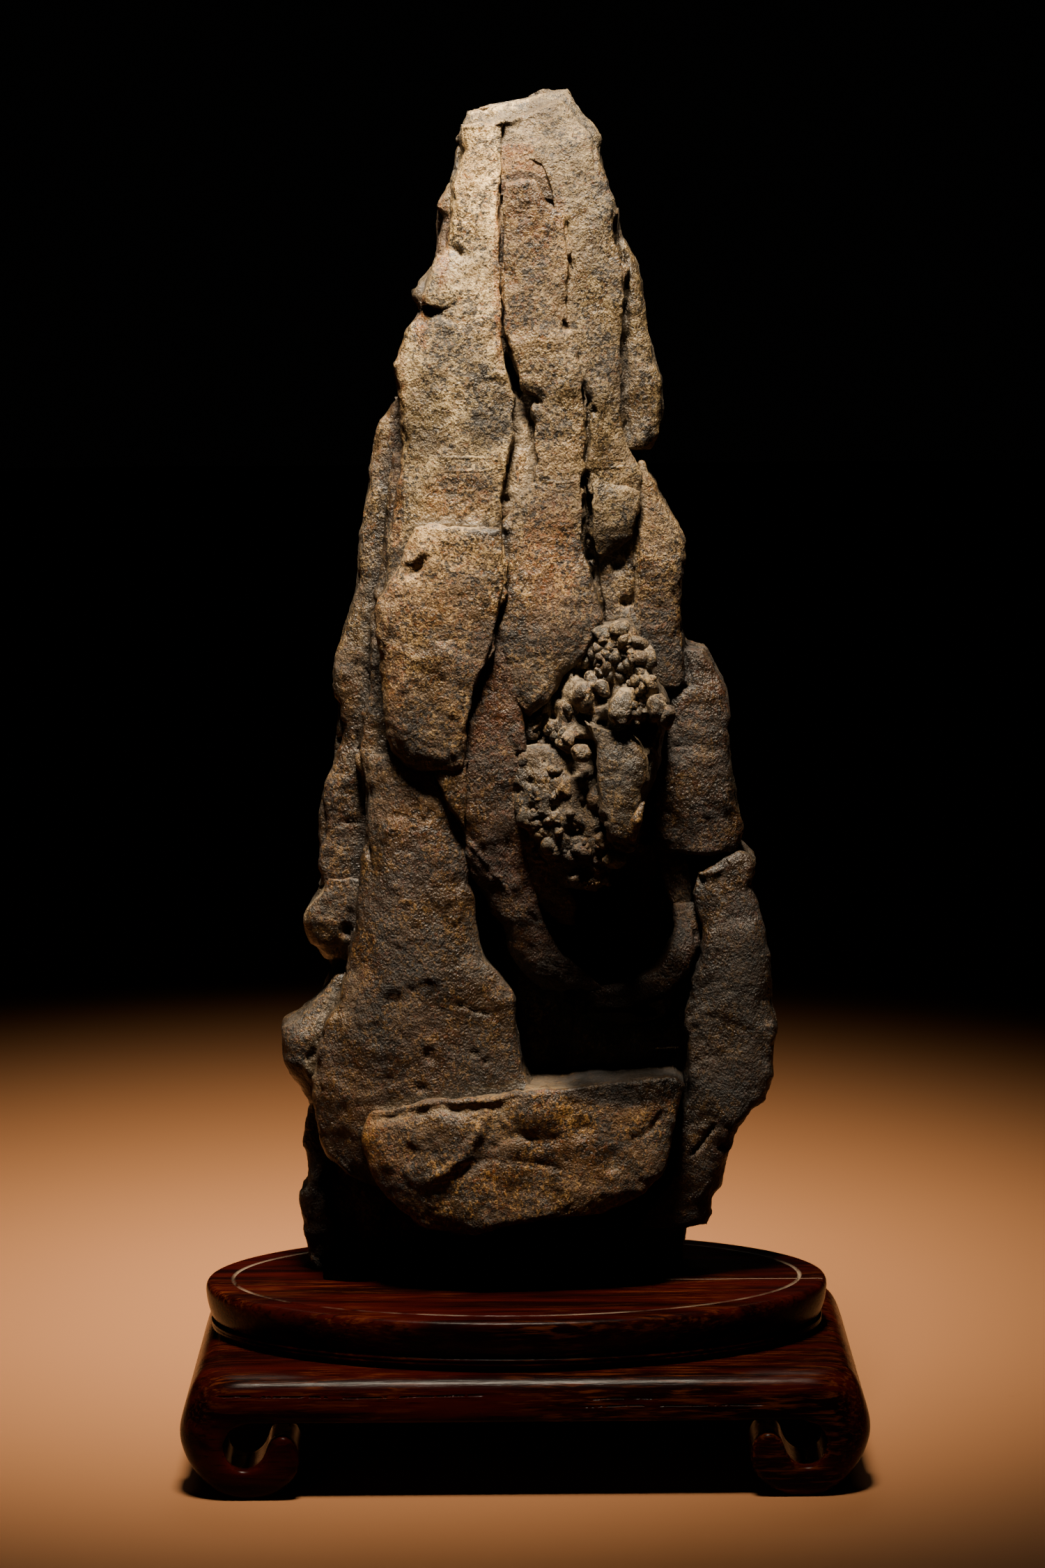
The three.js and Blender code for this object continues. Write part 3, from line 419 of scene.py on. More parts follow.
UPPER_LAYERS = [
    # crest behind the columns
    Slab(1, 0.1, [0.5, -4.6], 14, (2, 2), (3, 3, 4, 2),
         [(-17, 500.5), (-20.5, 492), (-20.5, 478)],
         [(19, 508), (22.5, 501), (29.5, 495.5), (32, 491), (30.5, 485), (33, 476)]),
    # left column
    Slab(1, 0.15, [-14.2, -16.2, -18.4, -20.2, -21.2, -21.4, -21.2, -20.6], 0, (5, 1.2), (3, 1, 1.2, 2),
         [(-19.5, 495), (-20.5, 490), (-20, 486), (-20.4, 484), (-23.3, 477), (-24, 474), (-25, 465),
         (-25.7, 455), (-29, 446), (-33, 434), (-35, 428), (-40.7, 421), (-44.3, 412), (-46, 409),
         (-44.7, 400), (-44.5, 391), (-43, 379), (-44.7, 364.5), (-46.6, 355), (-49.2, 341.5), (-51, 320),
         (-51, 300)],
         [(-3.6, 497), (-4.5, 490), (-5.4, 468), (-5.2, 440), (-5.5, 419), (-4, 406.5), (-1, 397),
         (0, 390), (-1, 381), (-6.5, 360), (-5.5, 346), (-8, 310), (-12, 300)]),
    # bulge on the left column
    Slab(0.95, 0.15, [-15.6, -18.2, -19.4, -19.4], -8, (2.4, 1), (2, 1, 1, 2.2),
         [(-29, 449), (-31.5, 442), (-35, 434), (-34.6, 430)],
         [(-8, 449), (-9, 440), (-13, 431), (-20, 426)], 3),
    # column right of the central one
    Slab(0.56, 0.3, [-9.6, -13.2, -14.8, -15.6, -16.2, -16.4, -15.8, -14.6], 5, (0.4, 2.4),
         (0.8, 1.6, 1.4, 1.2),
         [(-8, 496), (-8, 488), (2, 485), (9, 481), (13, 472), (16, 456), (16, 430), (20, 415),
         (23.6, 401), (24.6, 391), (24.6, 374), (25, 360)],
         [(17, 504), (28, 492), (30, 486), (33, 478), (37, 464), (37.6, 455.5), (41.3, 443), (41, 434),
         (40, 424), (39.3, 414), (39.8, 401), (40.4, 388), (40.4, 382), (42, 375), (46, 368),
         (45, 360)], 3),
    # bed of the recess over the central column
    Slab(0.8, 0.8, [-12.4, -13.4, -13.6], 5, (0.5, 0.5), (0.5, 0.5, 0.5, 0.5),
         [(-6, 489), (-6, 470)], [(6, 489), (20, 476), (20, 468)]),
    # central column, from the bright ledge at its top to the tongue at its end
    Slab(0.64, 0.5, [-18.4, -19.2, -19.8, -20, -20.8, -22.6, -24.4, -23.6], 0, (0.8, 1.6),
         (0.9, 1.5, 1.6, 2),
         [(-3.7, 475), (-5.2, 470), (-5.4, 455), (-5.5, 440), (-5.2, 425), (-4.2, 416), (-1, 408),
         (1.5, 400), (5.5, 394.5), (6, 388), (5.2, 378), (6.5, 372), (5, 364), (-1, 358), (-5, 350),
         (-7, 340), (-7.5, 324), (-8.5, 313.5), (-5, 301.5), (-3.7, 292), (-3.4, 286), (-0.8, 281)],
         [(7, 476.5), (12.4, 467.5), (18.7, 462.5), (19.5, 456), (20.8, 449), (20, 440), (17.5, 431),
         (22, 420), (24.8, 401), (25.8, 391), (26.4, 381), (25.8, 371), (25.3, 358.5), (25, 341.5),
         (26.4, 333), (29.4, 323), (31, 314), (25, 301), (17, 293), (11, 284), (4, 278)]),
    # bed of the crack left of the central column
    Slab(1.2, 0.6, [-13, -15.4, -16.6, -16.4], 0, (0.5, 0.5), (1, 1, 3, 1),
         [(-9, 398), (-10, 352)], [(10, 398), (9, 352)]),
    # back layer right of the columns
    Slab(0.5, 0.3, [-6, -8.6, -10, -10.4], 20, (1, 3.5), (1, 2, 2, 2),
         [(34, 465), (34, 376)],
         [(37, 465), (39.5, 455), (43, 448), (45.6, 439), (47.4, 429), (49.2, 417), (50.8, 409),
         (53.6, 400), (54.2, 388), (53, 382), (49.4, 377)]),
    # left front slab
    Slab(1.05, 0.4, [-26.4, -27.4, -27.6, -27, -25], -5, (3.4, 0.8), (2.6, 1.2, 2, 3),
         [(-38.5, 349.5), (-42, 343), (-44.5, 335.5), (-47.6, 330.5), (-50.7, 324), (-53, 317),
         (-52.5, 309), (-51, 300), (-51.2, 285.5), (-51, 278), (-50, 271), (-47.7, 265), (-44, 260),
         (-40, 257.5)],
         [(-6, 347.5), (-4.2, 341), (-4, 334.5), (-4.5, 324), (-7.2, 317), (-8.5, 310.5), (-8.2, 303),
         (-11.4, 297.5), (-15.3, 293), (-16.2, 286), (-20, 274.5), (-20.6, 266.5), (-21, 257)]),
    # step under its lower right corner
    Slab(0.8, 0.5, [-24, -23.6, -22.6], -5, (1, 0.4), (1.4, 0.8, 1, 1.4),
         [(-31.5, 262), (-31, 254), (-29, 250), (-27.5, 245), (-24, 239), (-22, 236.5)],
         [(-19, 262), (-20, 250), (-20.5, 236)]),
    # slab right of the central column, over the pocket
    Slab(0.5, 0.2, [-15, -16.2, -16, -13.4], 0, (0.4, 1), (1, 1.2, 0.8, 1.2),
         [(27, 370.5), (27, 358), (27, 345), (29, 337)],
         [(31.5, 368.5), (45, 361), (46, 352), (43, 344), (35, 336.5)], 3),
    # bed of the pocket
    Slab(0.6, 0.3, [-10.4, -11.6, -12.4], 5, (0.5, 0.5), (1, 1, 1, 1),
         [(28, 352), (30, 325), (33, 304)], [(46, 352), (46, 304)]),
    # right slab with a bulging outer edge
    Slab(0.62, 0.45, [-9.4, -11.4, -12.2, -11.6, -10.4], 12, (0.6, 3), (1.2, 2, 1.6, 1.4),
         [(44, 373), (44.5, 355), (43, 339.5), (44, 329.5), (42, 311.5), (44, 300), (52, 288)],
         [(46.6, 373), (51, 365), (53.8, 358), (59.3, 349.5), (62.2, 343), (61.2, 331), (60.2, 320),
         (60.6, 313), (62.4, 298), (62, 287)]),
]

LOWER_LAYERS = [
    # ochre slab with its tail over the hollow
    Slab(0.5, 0.95, [-22.4, -23.4, -23.8, -23.4, -22.4, -20, -16, -12], 10, (2.6, 0.8), (1.2, 1.2, 1, 2),
         [(-12, 322), (-13, 305), (-18, 293), (-19, 286), (-23, 274.5), (-24, 266.5), (-24, 239.5),
         (-21, 232), (-20.5, 222), (-16, 212), (-11, 204), (-7, 198), (-5, 190), (-1, 182), (8, 174)],
         [(0, 322), (0, 305), (0, 291), (1, 283), (2, 270), (2, 255), (3, 240), (4, 226), (5, 215),
         (7, 205), (10, 196), (14, 190), (22, 183), (32, 174)]),
    # rim under the hollow; its low tone is painted shade from the cluster above
    Slab(0.26, 0.95, [-4.6, -7.6, -10.6, -12, -12.6, -12.4], 12, (1.6, 1.6), (2, 2, 2, 2),
         [(56, 208), (57, 198), (55, 189), (49, 182), (38, 178), (22, 176)],
         [(66, 208), (67.5, 192), (64, 180), (55, 171), (42, 166), (26, 165)]),
    # small tongue beside the tail
    Slab(0.6, 0.6, [-22, -20.6, -17.6, -13.6], 12, (1.4, 1.4), (1.4, 1.4, 1, 2),
         [(0, 232), (2, 221), (3, 215), (8, 206), (14, 200)],
         [(15, 232), (17, 214), (20.5, 206), (20, 199)]),
    # ochre slab on the right
    Slab(0.37, 0.85, [-5.6, -8.8, -9.8, -9.8, -8.8], 20, (1, 2.6), (1.4, 2, 1.6, 1.6),
         [(60.6, 303), (55, 287), (56, 279.5), (54.5, 266.5), (51.6, 265), (50.7, 256.5), (50, 249),
         (50.6, 237.5), (53, 231.5), (56.7, 226)],
         [(69, 303), (72, 299), (73.6, 294), (76.4, 289), (78, 282), (78.8, 277), (77.4, 273),
         (78.6, 259), (80, 248), (82, 241), (83.4, 234.5), (80, 226)]),
    # narrow layer between the cluster and the lower right slab
    Slab(0.35, 0.5, [-5.2, -5, -3.4], 16, (1.2, 0.6), (1.4, 1, 1, 1.6),
         [(50, 240), (50, 230), (52, 220), (54, 212), (56, 206), (58, 200)],
         [(62, 240), (62, 226), (64, 212), (64, 200)]),
    # lower part of the cluster
    Slab(0.5, 0.1, [-23, -27.4, -28.6, -27.4, -23], -10, (4.6, 1.4), (2.4, 2, 3, 3),
         [(-3, 268), (-3, 254), (-2, 240), (6, 227), (15, 213)],
         [(28, 268), (30, 240), (33, 226), (31, 213)]),
    # smooth block on the cluster, the wedge over it and the splinter
    Slab(0.5, 0.1, [-34.5, -36.6, -37.6, -37], -18, (1.2, 2.4), (1.6, 2.4, 1.6, 3),
         [(24, 276), (28.5, 268), (28.5, 252), (29, 240), (33, 231)],
         [(41, 271), (47.5, 262), (48.5, 254), (45, 243), (43.5, 231)]),
    Slab(0.7, 0.1, [-34, -37, -38.4, -38], -24, (1.4, 1.8), (1.4, 1.6, 2, 1.2),
         [(37, 288), (33.6, 281.5), (33.5, 277), (36, 274)],
         [(42.5, 287.5), (43.8, 282), (43, 277), (40.5, 273)]),
    Slab(0.9, 0.3, [-36.6, -38.6, -37], -22, (0.8, 0.8), (0.8, 0.8, 0.8, 0.8),
         [(44.5, 245), (41.5, 238), (39.5, 233.5)], [(46.6, 245.5), (45.4, 238), (42.5, 231)]),
    # lower left column
    Slab(0.56, 0.45, [-20, -21.6, -23, -24, -24, -21.4], 12, (8, 5), (2.4, 2, 2, 2),
         [(-57, 264), (-58, 240), (-60, 228), (-60, 220), (-61, 212), (-62, 205), (-63.5, 193),
         (-65.5, 181), (-69, 171), (-71, 167), (-74, 163), (-76, 158), (-77, 152), (-77, 146), (-78, 140),
         (-78, 135), (-77.5, 123), (-76, 118), (-74, 112), (-71, 108), (-66, 105), (-60, 101)],
         [(-21, 264), (-21, 240), (-20.5, 234), (-17, 226), (-20, 215), (-17, 210), (-16.5, 200),
         (-15, 192), (-13, 185), (-9, 180), (-5, 175), (-3, 170), (-2.5, 160), (-1, 150), (1, 143),
         (8, 128), (12, 112), (8, 101)]),
    # bottom lump with the ledge along its top
    Slab(1.15, 0.4, [-28.6, -30, -31, -32, -33, -33], 12, (6, 5.4), (3, 2.4, 1.2, 3),
         [(-54, 129.5), (-58.5, 127.5), (-60.6, 122), (-61, 118), (-60.5, 113), (-59, 107), (-56, 100),
         (-52, 95), (-48, 91), (-43, 87), (-38, 84), (-25, 80)],
         [(58, 141), (62, 138), (60, 132), (58.5, 127), (57.3, 119), (57, 114), (55, 107), (53, 103),
         (47, 97), (42, 94), (36, 91), (30, 88.5), (10, 85)]),
    # lower right slab
    Slab(0.29, 0.5, [-9, -12.2, -13.2, -13.8, -13.4, -9.8], 20, (1.4, 3.2), (1.6, 2.6, 1.6, 2),
         [(66, 217), (63.5, 210), (65, 205), (67, 200), (67.5, 195), (67.5, 190), (66, 186), (65, 182),
         (63, 178), (62.5, 172), (61.5, 165), (61, 160), (62, 150), (63, 142), (63, 137), (62, 132),
         (60, 127), (59, 122), (58, 117), (58, 110), (57, 104), (54, 98), (50, 93), (46, 89), (43, 84),
         (41, 81)],
         [(82, 228), (86, 226), (88, 222), (87, 217), (86.2, 213), (88, 209), (89, 204), (90.5, 199),
         (92, 194), (94, 187), (94, 180), (93.5, 172), (94.3, 166), (96.4, 160), (95.3, 153), (94, 148),
         (94.2, 141), (93.2, 136), (91, 131.5), (85, 126), (81.5, 123), (79.5, 118), (77, 109),
         (76.8, 105), (75, 98), (72, 94), (71.6, 87), (69.5, 83.5)]),
    # strip beside the left column
    Slab(0.9, 0.5, [-6, -9], 12, (2, 2), (1.6, 1, 1.4, 1.4),
         [(-24, 475), (-26.2, 472), (-29, 466), (-27, 462), (-27.5, 457), (-29, 452), (-28.7, 446.5),
         (-30.7, 443), (-36, 437.5), (-38, 434), (-35, 429)],
         [(-15, 475), (-15, 450), (-20, 429)]),
    # left back layer
    Slab(0.5, 0.45, [-1, -4.2, -5.2, -5.2], 22, (2.4, 1), (2, 1, 1.6, 2),
         [(-45, 396), (-50.2, 388), (-52.3, 380), (-54.3, 370.5), (-55.3, 362.5), (-57.4, 352),
         (-59, 346), (-58, 336.5), (-59, 331), (-62, 319), (-64.7, 310.5), (-66, 307), (-68, 301),
         (-69, 290), (-68.2, 286), (-66.7, 282.5), (-65.8, 275), (-65.7, 268), (-67.8, 263.5),
         (-69.4, 258), (-73, 252.5), (-74.7, 248), (-73.8, 245), (-72.3, 240.5), (-72.4, 234),
         (-75.2, 229), (-76, 221), (-76, 214)],
         [(-38, 396), (-42, 340), (-46, 280), (-50, 214)]),
    # strip between that layer and the front slabs
    Slab(0.6, 0.45, [-8.8, -12, -13], 5, (1.6, 0.5), (1.6, 0.8, 1.4, 1.4),
         [(-46, 376), (-50, 345), (-54, 320), (-57.5, 285.5), (-58.8, 278), (-60.2, 268), (-60.5, 262.5),
         (-59.3, 254.5), (-58.7, 247), (-58, 239.5), (-57, 228)],
         [(-40, 376), (-44, 300), (-48, 228)]),
    # knob on the left edge
    Slab(0.7, 0.4, [-6.4, -7.4, -7, -5.4, -2], 16, (3.4, 0), (3, 1, 1.4, 3),
         [(-74, 217), (-76.5, 211), (-80, 207.5), (-82, 204), (-82, 201), (-81, 197), (-79.5, 193.5),
         (-76, 192), (-73, 186.5)],
         [(-60, 217), (-60, 187)]),
    # strut and lump below the hollow
    Slab(0.75, 0.3, [-2.6, -5, -9, -8, -3], 14, (3, 1), (2.6, 1, 1.4, 2),
         [(-71, 181), (-74, 176), (-75.5, 173), (-78.5, 170), (-82, 168), (-84, 165.5), (-87.5, 163.5),
         (-90, 161), (-90.6, 157), (-90.2, 152), (-89.6, 148), (-88.5, 145), (-85, 140), (-82, 136),
         (-80.5, 132)],
         [(-64, 181), (-64, 132)]),
    # blade on the lower left, down to the board
    Slab(0.35, 0.2, [1.4, 5, 13], 30, (1.6, 0.8), (1.6, 1.2, 1.4, 1),
         [(-79.5, 136), (-80.3, 130), (-81.5, 125), (-82, 121), (-83, 118), (-83.5, 116), (-82, 114),
         (-81, 110), (-81, 105), (-80.8, 101), (-83, 98.5), (-84.5, 96.5), (-84, 93), (-83, 87),
         (-82.5, 81), (-81.5, 77.5), (-80, 71), (-78, 58)],
         [(-70, 136), (-74, 112), (-76.5, 100), (-73, 92), (-70, 80), (-64, 58)]),
    # toe in front of the blade; its very dark tone is painted shade under the lumps above it
    Slab(0.05, 0.1, [6, -2, -8], 20, (1.4, 1.4), (2, 2, 1.4, 1),
         [(-75, 72), (-76.5, 68), (-76.5, 62)], [(-66, 73), (-58, 67), (-56.5, 62)], -3),
    # foot of the stone, set back under the bottom lump; its dark tone is painted shade under that lump
    Slab(0.2, 0.1, [8, 5.4], 30, (3, 3), (1.8, 1.8, 1.4, 1.8),
         [(-66, 104), (-62, 80), (-52, 62)], [(50, 104), (52, 80), (48, 62)], -12),
]

# The back, seen through the stone from the front
BACK_LAYERS = [
    Slab(0.9, 0.3, [18.6, 26.8, 33, 36.8], 5, (3.4, 3), (1.8, 1.8, 1.4, 1.8),
         [(-12, 502), (-19, 480), (-22, 450), (-20, 420), (-16, 380), (-20, 350)],
         [(14, 506), (12, 480), (14, 440), (10, 410), (16, 370), (12, 350)]),
    Slab(0.9, 0.3, [20.6, 26.8, 31.8, 34.6], 5, (2, 5), (1.8, 1.8, 1.4, 1.8),
         [(6, 492), (10, 460), (9, 420), (14, 380), (10, 330)],
         [(28, 488), (34, 462), (40, 430), (46, 395), (44, 370), (50, 345), (46, 330)]),
    Slab(0.9, 0.3, [26.8, 32, 36.8, 36.8], 5, (5, 1.6), (1.8, 1.8, 1.4, 1.8),
         [(-28, 440), (-36, 425), (-43, 405), (-43, 375), (-49, 345), (-52, 310), (-50, 285)],
         [(-12, 446), (-14, 400), (-18, 360), (-12, 320), (-20, 285)]),
    Slab(0.9, 0.3, [38, 42.6, 43.4, 43, 41], 15, (2.4, 2.4), (2, 2, 2.6, 3),
         [(-18, 352), (-24, 330), (-20, 300), (-28, 270), (-22, 240), (-16, 196)],
         [(16, 346), (22, 320), (18, 290), (26, 262), (20, 236), (12, 196)]),
    Slab(0.9, 0.3, [36, 40, 41], 10, (1.2, 4), (1.4, 2.4, 2, 2),
         [(22, 336), (16, 300), (24, 270), (22, 240)],
         [(50, 332), (57, 310), (58, 290), (70, 270), (72, 246), (66, 240)]),
    Slab(0.9, 0.3, [37, 41, 44, 44.6], 10, (5, 1.6), (1.8, 1.8, 1.4, 1.8),
         [(-52, 292), (-60, 270), (-63, 240), (-66, 205), (-62, 180), (-70, 150), (-68, 126)],
         [(-24, 290), (-28, 250), (-20, 215), (-24, 180), (-14, 150), (-20, 126)]),
    Slab(0.9, 0.3, [39, 43, 44.8, 43.8], 10, (1.8, 5), (1.8, 1.8, 1.4, 1.8),
         [(28, 246), (18, 215), (22, 180), (16, 150), (24, 120)],
         [(74, 250), (80, 225), (82, 195), (86, 165), (82, 140), (70, 120)]),
    Slab(0.9, 0.3, [42.8, 46, 45, 44], 15, (2.4, 2.4), (1.8, 1.8, 1.4, 1.8),
         [(-30, 214), (-26, 190), (-34, 160), (-26, 116)], [(20, 220), (26, 190), (16, 160), (20, 112)]),
    Slab(0.9, 0.3, [44.4, 46.6, 42.6], 10, (5, 5), (3, 3, 3, 4),
         [(-66, 140), (-70, 115), (-62, 92), (-56, 74)], [(60, 132), (66, 110), (58, 90), (50, 74)]),
    # thinner layers on those columns
    Slab(0.9, 0.3, [30, 34, 36.8], 15, (1, 1.2), (1.2, 1.6, 1.6, 2),
         [(-12, 470), (-15, 440), (-14, 410), (-8, 392)], [(6, 474), (8, 440), (4, 412), (-2, 392)]),
    Slab(0.9, 0.3, [34, 36.2, 36.4], 15, (1, 2.4), (1.2, 1.6, 1.6, 2),
         [(18, 420), (20, 396), (17, 372)], [(36, 424), (42, 398), (36, 372)]),
    Slab(0.9, 0.3, [36.4, 39, 38.6], 15, (2.4, 1.2), (1.8, 1.4, 2, 2),
         [(-42, 372), (-46, 348), (-48, 318), (-40, 300)], [(-24, 376), (-22, 340), (-28, 300)]),
    Slab(0.9, 0.3, [43.2, 46, 46.6], 20, (2.4, 1.2), (1.8, 1.4, 2, 2),
         [(-58, 246), (-60, 214), (-54, 188)], [(-34, 250), (-32, 214), (-38, 188)]),
    Slab(0.9, 0.3, [44.4, 47.2, 46.2], 20, (1.2, 2.6), (1.4, 1.8, 2, 2),
         [(38, 206), (32, 176), (40, 140)], [(66, 210), (74, 178), (66, 138)]),
]


# Nubs and pebbles on the stone's form: drawn place, depth, half sizes, turn and seed
NUBS = [
    # in the crack left of the central column, and the drop beside that column
    (2.5, 384, -17, (2.2, 2.5, 6), 0.1, 1), (-4, 366, -19, (3.4, 2.5, 6.5), -0.15, 2),
    (2.8, 363, -18, (1.6, 2, 4), 0.5, 3), (18.6, 430, -17.5, (2.4, 3, 5.4), 0.1, 4),
    # in the pocket right of the central column
    (38.6, 327, -14.6, (3.8, 4.6, 4.4), 0.2, 5), (41, 334, -12, (2.2, 3, 2.2), 0, 6),
    (36, 318, -12, (2.5, 3, 2.5), 0, 7),
    # on the shoulder of the lower right slab and on the left edge
    (83.5, 224, -8, (3.2, 4, 3), 0.3, 8), (-76, 96, 4, (2.4, 3, 2.2), 0, 9),
    (-75, 206, -7, (4.4, 4, 4), 0.3, 11), (-71, 198, -7, (3.4, 4, 4.4), 0.1, 12),
    (-66, 207, -8.6, (3.4, 4, 5), 0.5, 14), (-37, 435, -7, (2.2, 3.4, 2.6), 0.3, 13),
    # over the central column's ledge
    (-1, 482, -13.4, (2.4, 2.6, 2.4), 0.3, 18), (4, 486, -13, (3.4, 2.8, 2.4), 0.6, 19),
    (9, 480, -14.2, (2.4, 2.4, 3), 0.2, 20), (12, 486, -12.4, (2.2, 2.4, 2), 0.4, 23),
    # on the rim of the crest
    (-18.5, 490, -8, (3.6, 5, 4.4), 0.2, 21), (-14, 496.5, -4, (5, 4, 2.4), -0.2, 22),
    (12, 505.5, -2, (7, 4, 3), -0.1, 24),
]


def joined(solids):
    """The points and the faces of several solids, as one list of each."""
    points = []
    faces = []
    for solid_points, solid_faces in solids:
        first = len(points)
        points.extend(solid_points)
        faces.extend(tuple(k + first for k in face) for face in solid_faces)
    return points, faces


def solid_mesh(name, points, faces):
    """A mesh of these faces, all of them turned outwards."""
    mesh = bpy.data.meshes.new(name)
    mesh.from_pydata([tuple(p) for p in points], [], faces)
    work = bmesh.new()
    work.from_mesh(mesh)
    bmesh.ops.recalc_face_normals(work, faces=work.faces)
    work.to_mesh(mesh)
    work.free()
    return mesh


# Lines are drawn a little wide and shallow, and these bring them to their real size
LINE_WIDTH = 0.72
LINE_DEPTH = 1.2

# Lines on the stone: half width and depth, and their points on the drawing. Positive depths cut in.
LINES = [
    # seams between the tall columns
    (1.8, 0.9, [(-5.2, 474), (-5.5, 460), (-5.6, 440), (-5.5, 419)]),
    (2.4, 3.0, [(-4.5, 418), (-1, 405), (1.5, 397), (8.5, 394)]),
    (1.6, 1.6, [(0, 395), (-0.8, 381), (-3, 372), (-5.5, 359)]),
    (1.8, 1.5, [(5.5, 388), (5, 378), (7, 371)]),
    (2.2, 2.2, [(36.5, 466), (37.6, 455.5), (41.3, 443), (40.5, 424), (39.4, 410), (40.4, 388), (42, 378)]),
    (2.0, 1.6, [(24.8, 401), (26, 391), (26.3, 381), (25.8, 371)]),
    (2.2, 2.4, [(25.6, 367), (25.3, 355), (25, 342)]),
    (2.0, 1.4, [(25.5, 340), (28, 328), (31, 317)]),
    (2.0, 1.5, [(18.7, 462), (19.5, 452), (20.5, 444), (19.5, 436)]),
    # creases on the left column
    (2.0, 1.0, [(-34, 429.5), (-28, 427.5), (-22, 424)]),
    (2.6, 0.9, [(-27, 452), (-21, 449), (-15, 448)]),
    # left front slab
    (2.4, 1.3, [(-41, 331.5), (-39, 332), (-36.5, 333.6), (-33, 337), (-31.5, 338)]),
    (2.4, -1.4, [(-42, 336), (-38, 337.5), (-34.5, 341)]),
    (1.2, 0.7, [(-32, 306.5), (-23, 307)]),
    (1.2, 0.7, [(-36, 268), (-30, 267)]),
    (2.0, 1.2, [(-5, 346), (-4.5, 331), (-7, 317), (-8.4, 306), (-13, 295), (-16.5, 286), (-20, 272)]),
    (1.4, -0.8, [(-38, 349), (-28, 350), (-17, 349.5), (-10, 347.5)]),
    # dividing line of the left layers
    (1.8, 1.5, [(-55, 305), (-57.5, 285.5), (-60.2, 268), (-59.3, 254.5), (-58, 239.5), (-56.5, 222)]),
    (1.2, 0.8, [(-69, 238), (-60, 238.5)]),
    # right slabs
    (1.8, 1.4, [(45.5, 355), (43.2, 339.5), (43.8, 329.5), (42, 313)]),
    (1.8, 1.4, [(61, 303), (63, 297), (64.4, 290), (60, 287), (55, 285)]),
    (1.2, 0.8, [(57, 266.5), (70, 266.8)]),
    # the seam and the light line beside the tail
    (1.4, -0.9, [(-20, 232), (-14, 225), (-9, 218), (-5, 212)]),
    (1.5, -0.8, [(-60, 101), (-66, 106), (-72, 111), (-76, 120), (-78, 135), (-76, 150), (-71, 167)]),
    (1.0, -0.6, [(-62, 170), (-56, 165)]),
    (1.6, 0.8, [(-25, 170), (-18, 167), (-12, 165)]),
    # bottom lump: ledge, ridge and creases
    (1.8, -1.2, [(-57, 128), (-47, 129.5), (-30, 131.5), (-12, 131.5), (0, 136), (12, 139)]),
    (2.6, 0.6, [(-57, 125), (-47, 126.5), (-30, 128.3), (-12, 128.6), (-3, 129)]),
    (3.4, -1.6, [(-14, 126), (-18, 117), (-23, 110), (-30, 104), (-35, 102)]),
    (3.0, 0.6, [(-10, 126), (-13, 116), (-18, 108), (-26, 102)]),
    (3.0, 0.5, [(-3, 122), (3, 118), (10, 117), (16, 119)]),
    (3.0, 0.7, [(-12, 113), (-7, 117), (-2, 119), (2, 117)]),
    (3.0, 0.7, [(-20, 109), (-10, 110), (0, 108), (10, 107), (18, 105)]),
    (3.0, 0.8, [(40, 116), (46, 118), (50, 123), (54, 127)]),
    # lower right slab
    (1.8, 1.6, [(64, 111), (68, 116), (72, 122)]),
    (1.6, -0.8, [(63, 213), (66, 217), (72, 219), (79, 220), (82, 222)]),
    (1.8, 1.2, [(65, 198), (67.3, 188), (64, 181), (62.5, 172)]),
    # left edge
    (1.4, 1.4, [(-75, 158), (-78, 153), (-81, 148)]),
    (1.4, -0.8, [(-83, 147), (-80, 143), (-77.5, 140)]),
    (1.2, 0.9, [(-78, 98), (-75, 97)]),
    # top: rim in front, dip behind it, and the line down the right
    (1.6, -0.9, [(-19, 494.5), (-10, 496), (0, 497.5), (5, 501), (9, 504.5)]),
    (1.6, 0.9, [(27, 497), (29, 490), (29, 480)]),
]

# Pits: drawn place, radius and depth
PITS = [
    (-22, 448.5, 3, 1.2), (18.4, 422, 2.4, 2.0), (26.4, 394.5, 2, 2.0), (28, 391, 1.6, 1.6),
    (1.8, 378.5, 1.4, 1.6), (-5, 358.5, 2, 2.4), (2.8, 358, 1.2, 1.2), (40, 320, 2.6, 2.6),
    (37, 334, 3.4, 2.4),
    (-35, 150, 3.4, 1.1), (-18, 150, 2, 0.9), (-13.5, 147.5, 1.8, 0.9), (-38, 137.5, 2.6, 0.9),
    (-66, 197, 3.2, 2.4), (68, 216, 1.8, 1.6), (76, 114, 2.4, 2.2), (-10, 500, 3.5, 2.5),
    (50, 270, 4, 3.0), (25, 293.5, 2.4, 2.0), (19.5, 258, 3, 2.4), (3.5, 253, 2.6, 2.2), (0, 263, 2.2, 1.8),
    (20, 235, 3.6, 2.6), (8, 238, 3.4, 2.8), (24, 219, 3.4, 3.0), (45, 288, 2, 1.6), (36, 300, 2, 1.6),
    (33, 290, 2.2, 1.8), (29, 297, 1.6, 1.4), (42, 303, 1.4, 1.2), (13, 270, 2.2, 1.6), (4, 243, 2.4, 2.0),
    (13, 243, 2.2, 2.0), (30, 239, 2.2, 1.8), (9, 262, 1.8, 1.4), (-1, 250, 1.8, 1.6), (6, 229, 2, 1.8),
    (-8, 119, 3.4, 0.9), (22, 121, 5, 1.2), (34, 108, 6, 1.2), (-42, 112, 5, 1.2), (10, 96, 6, 1.0),
]

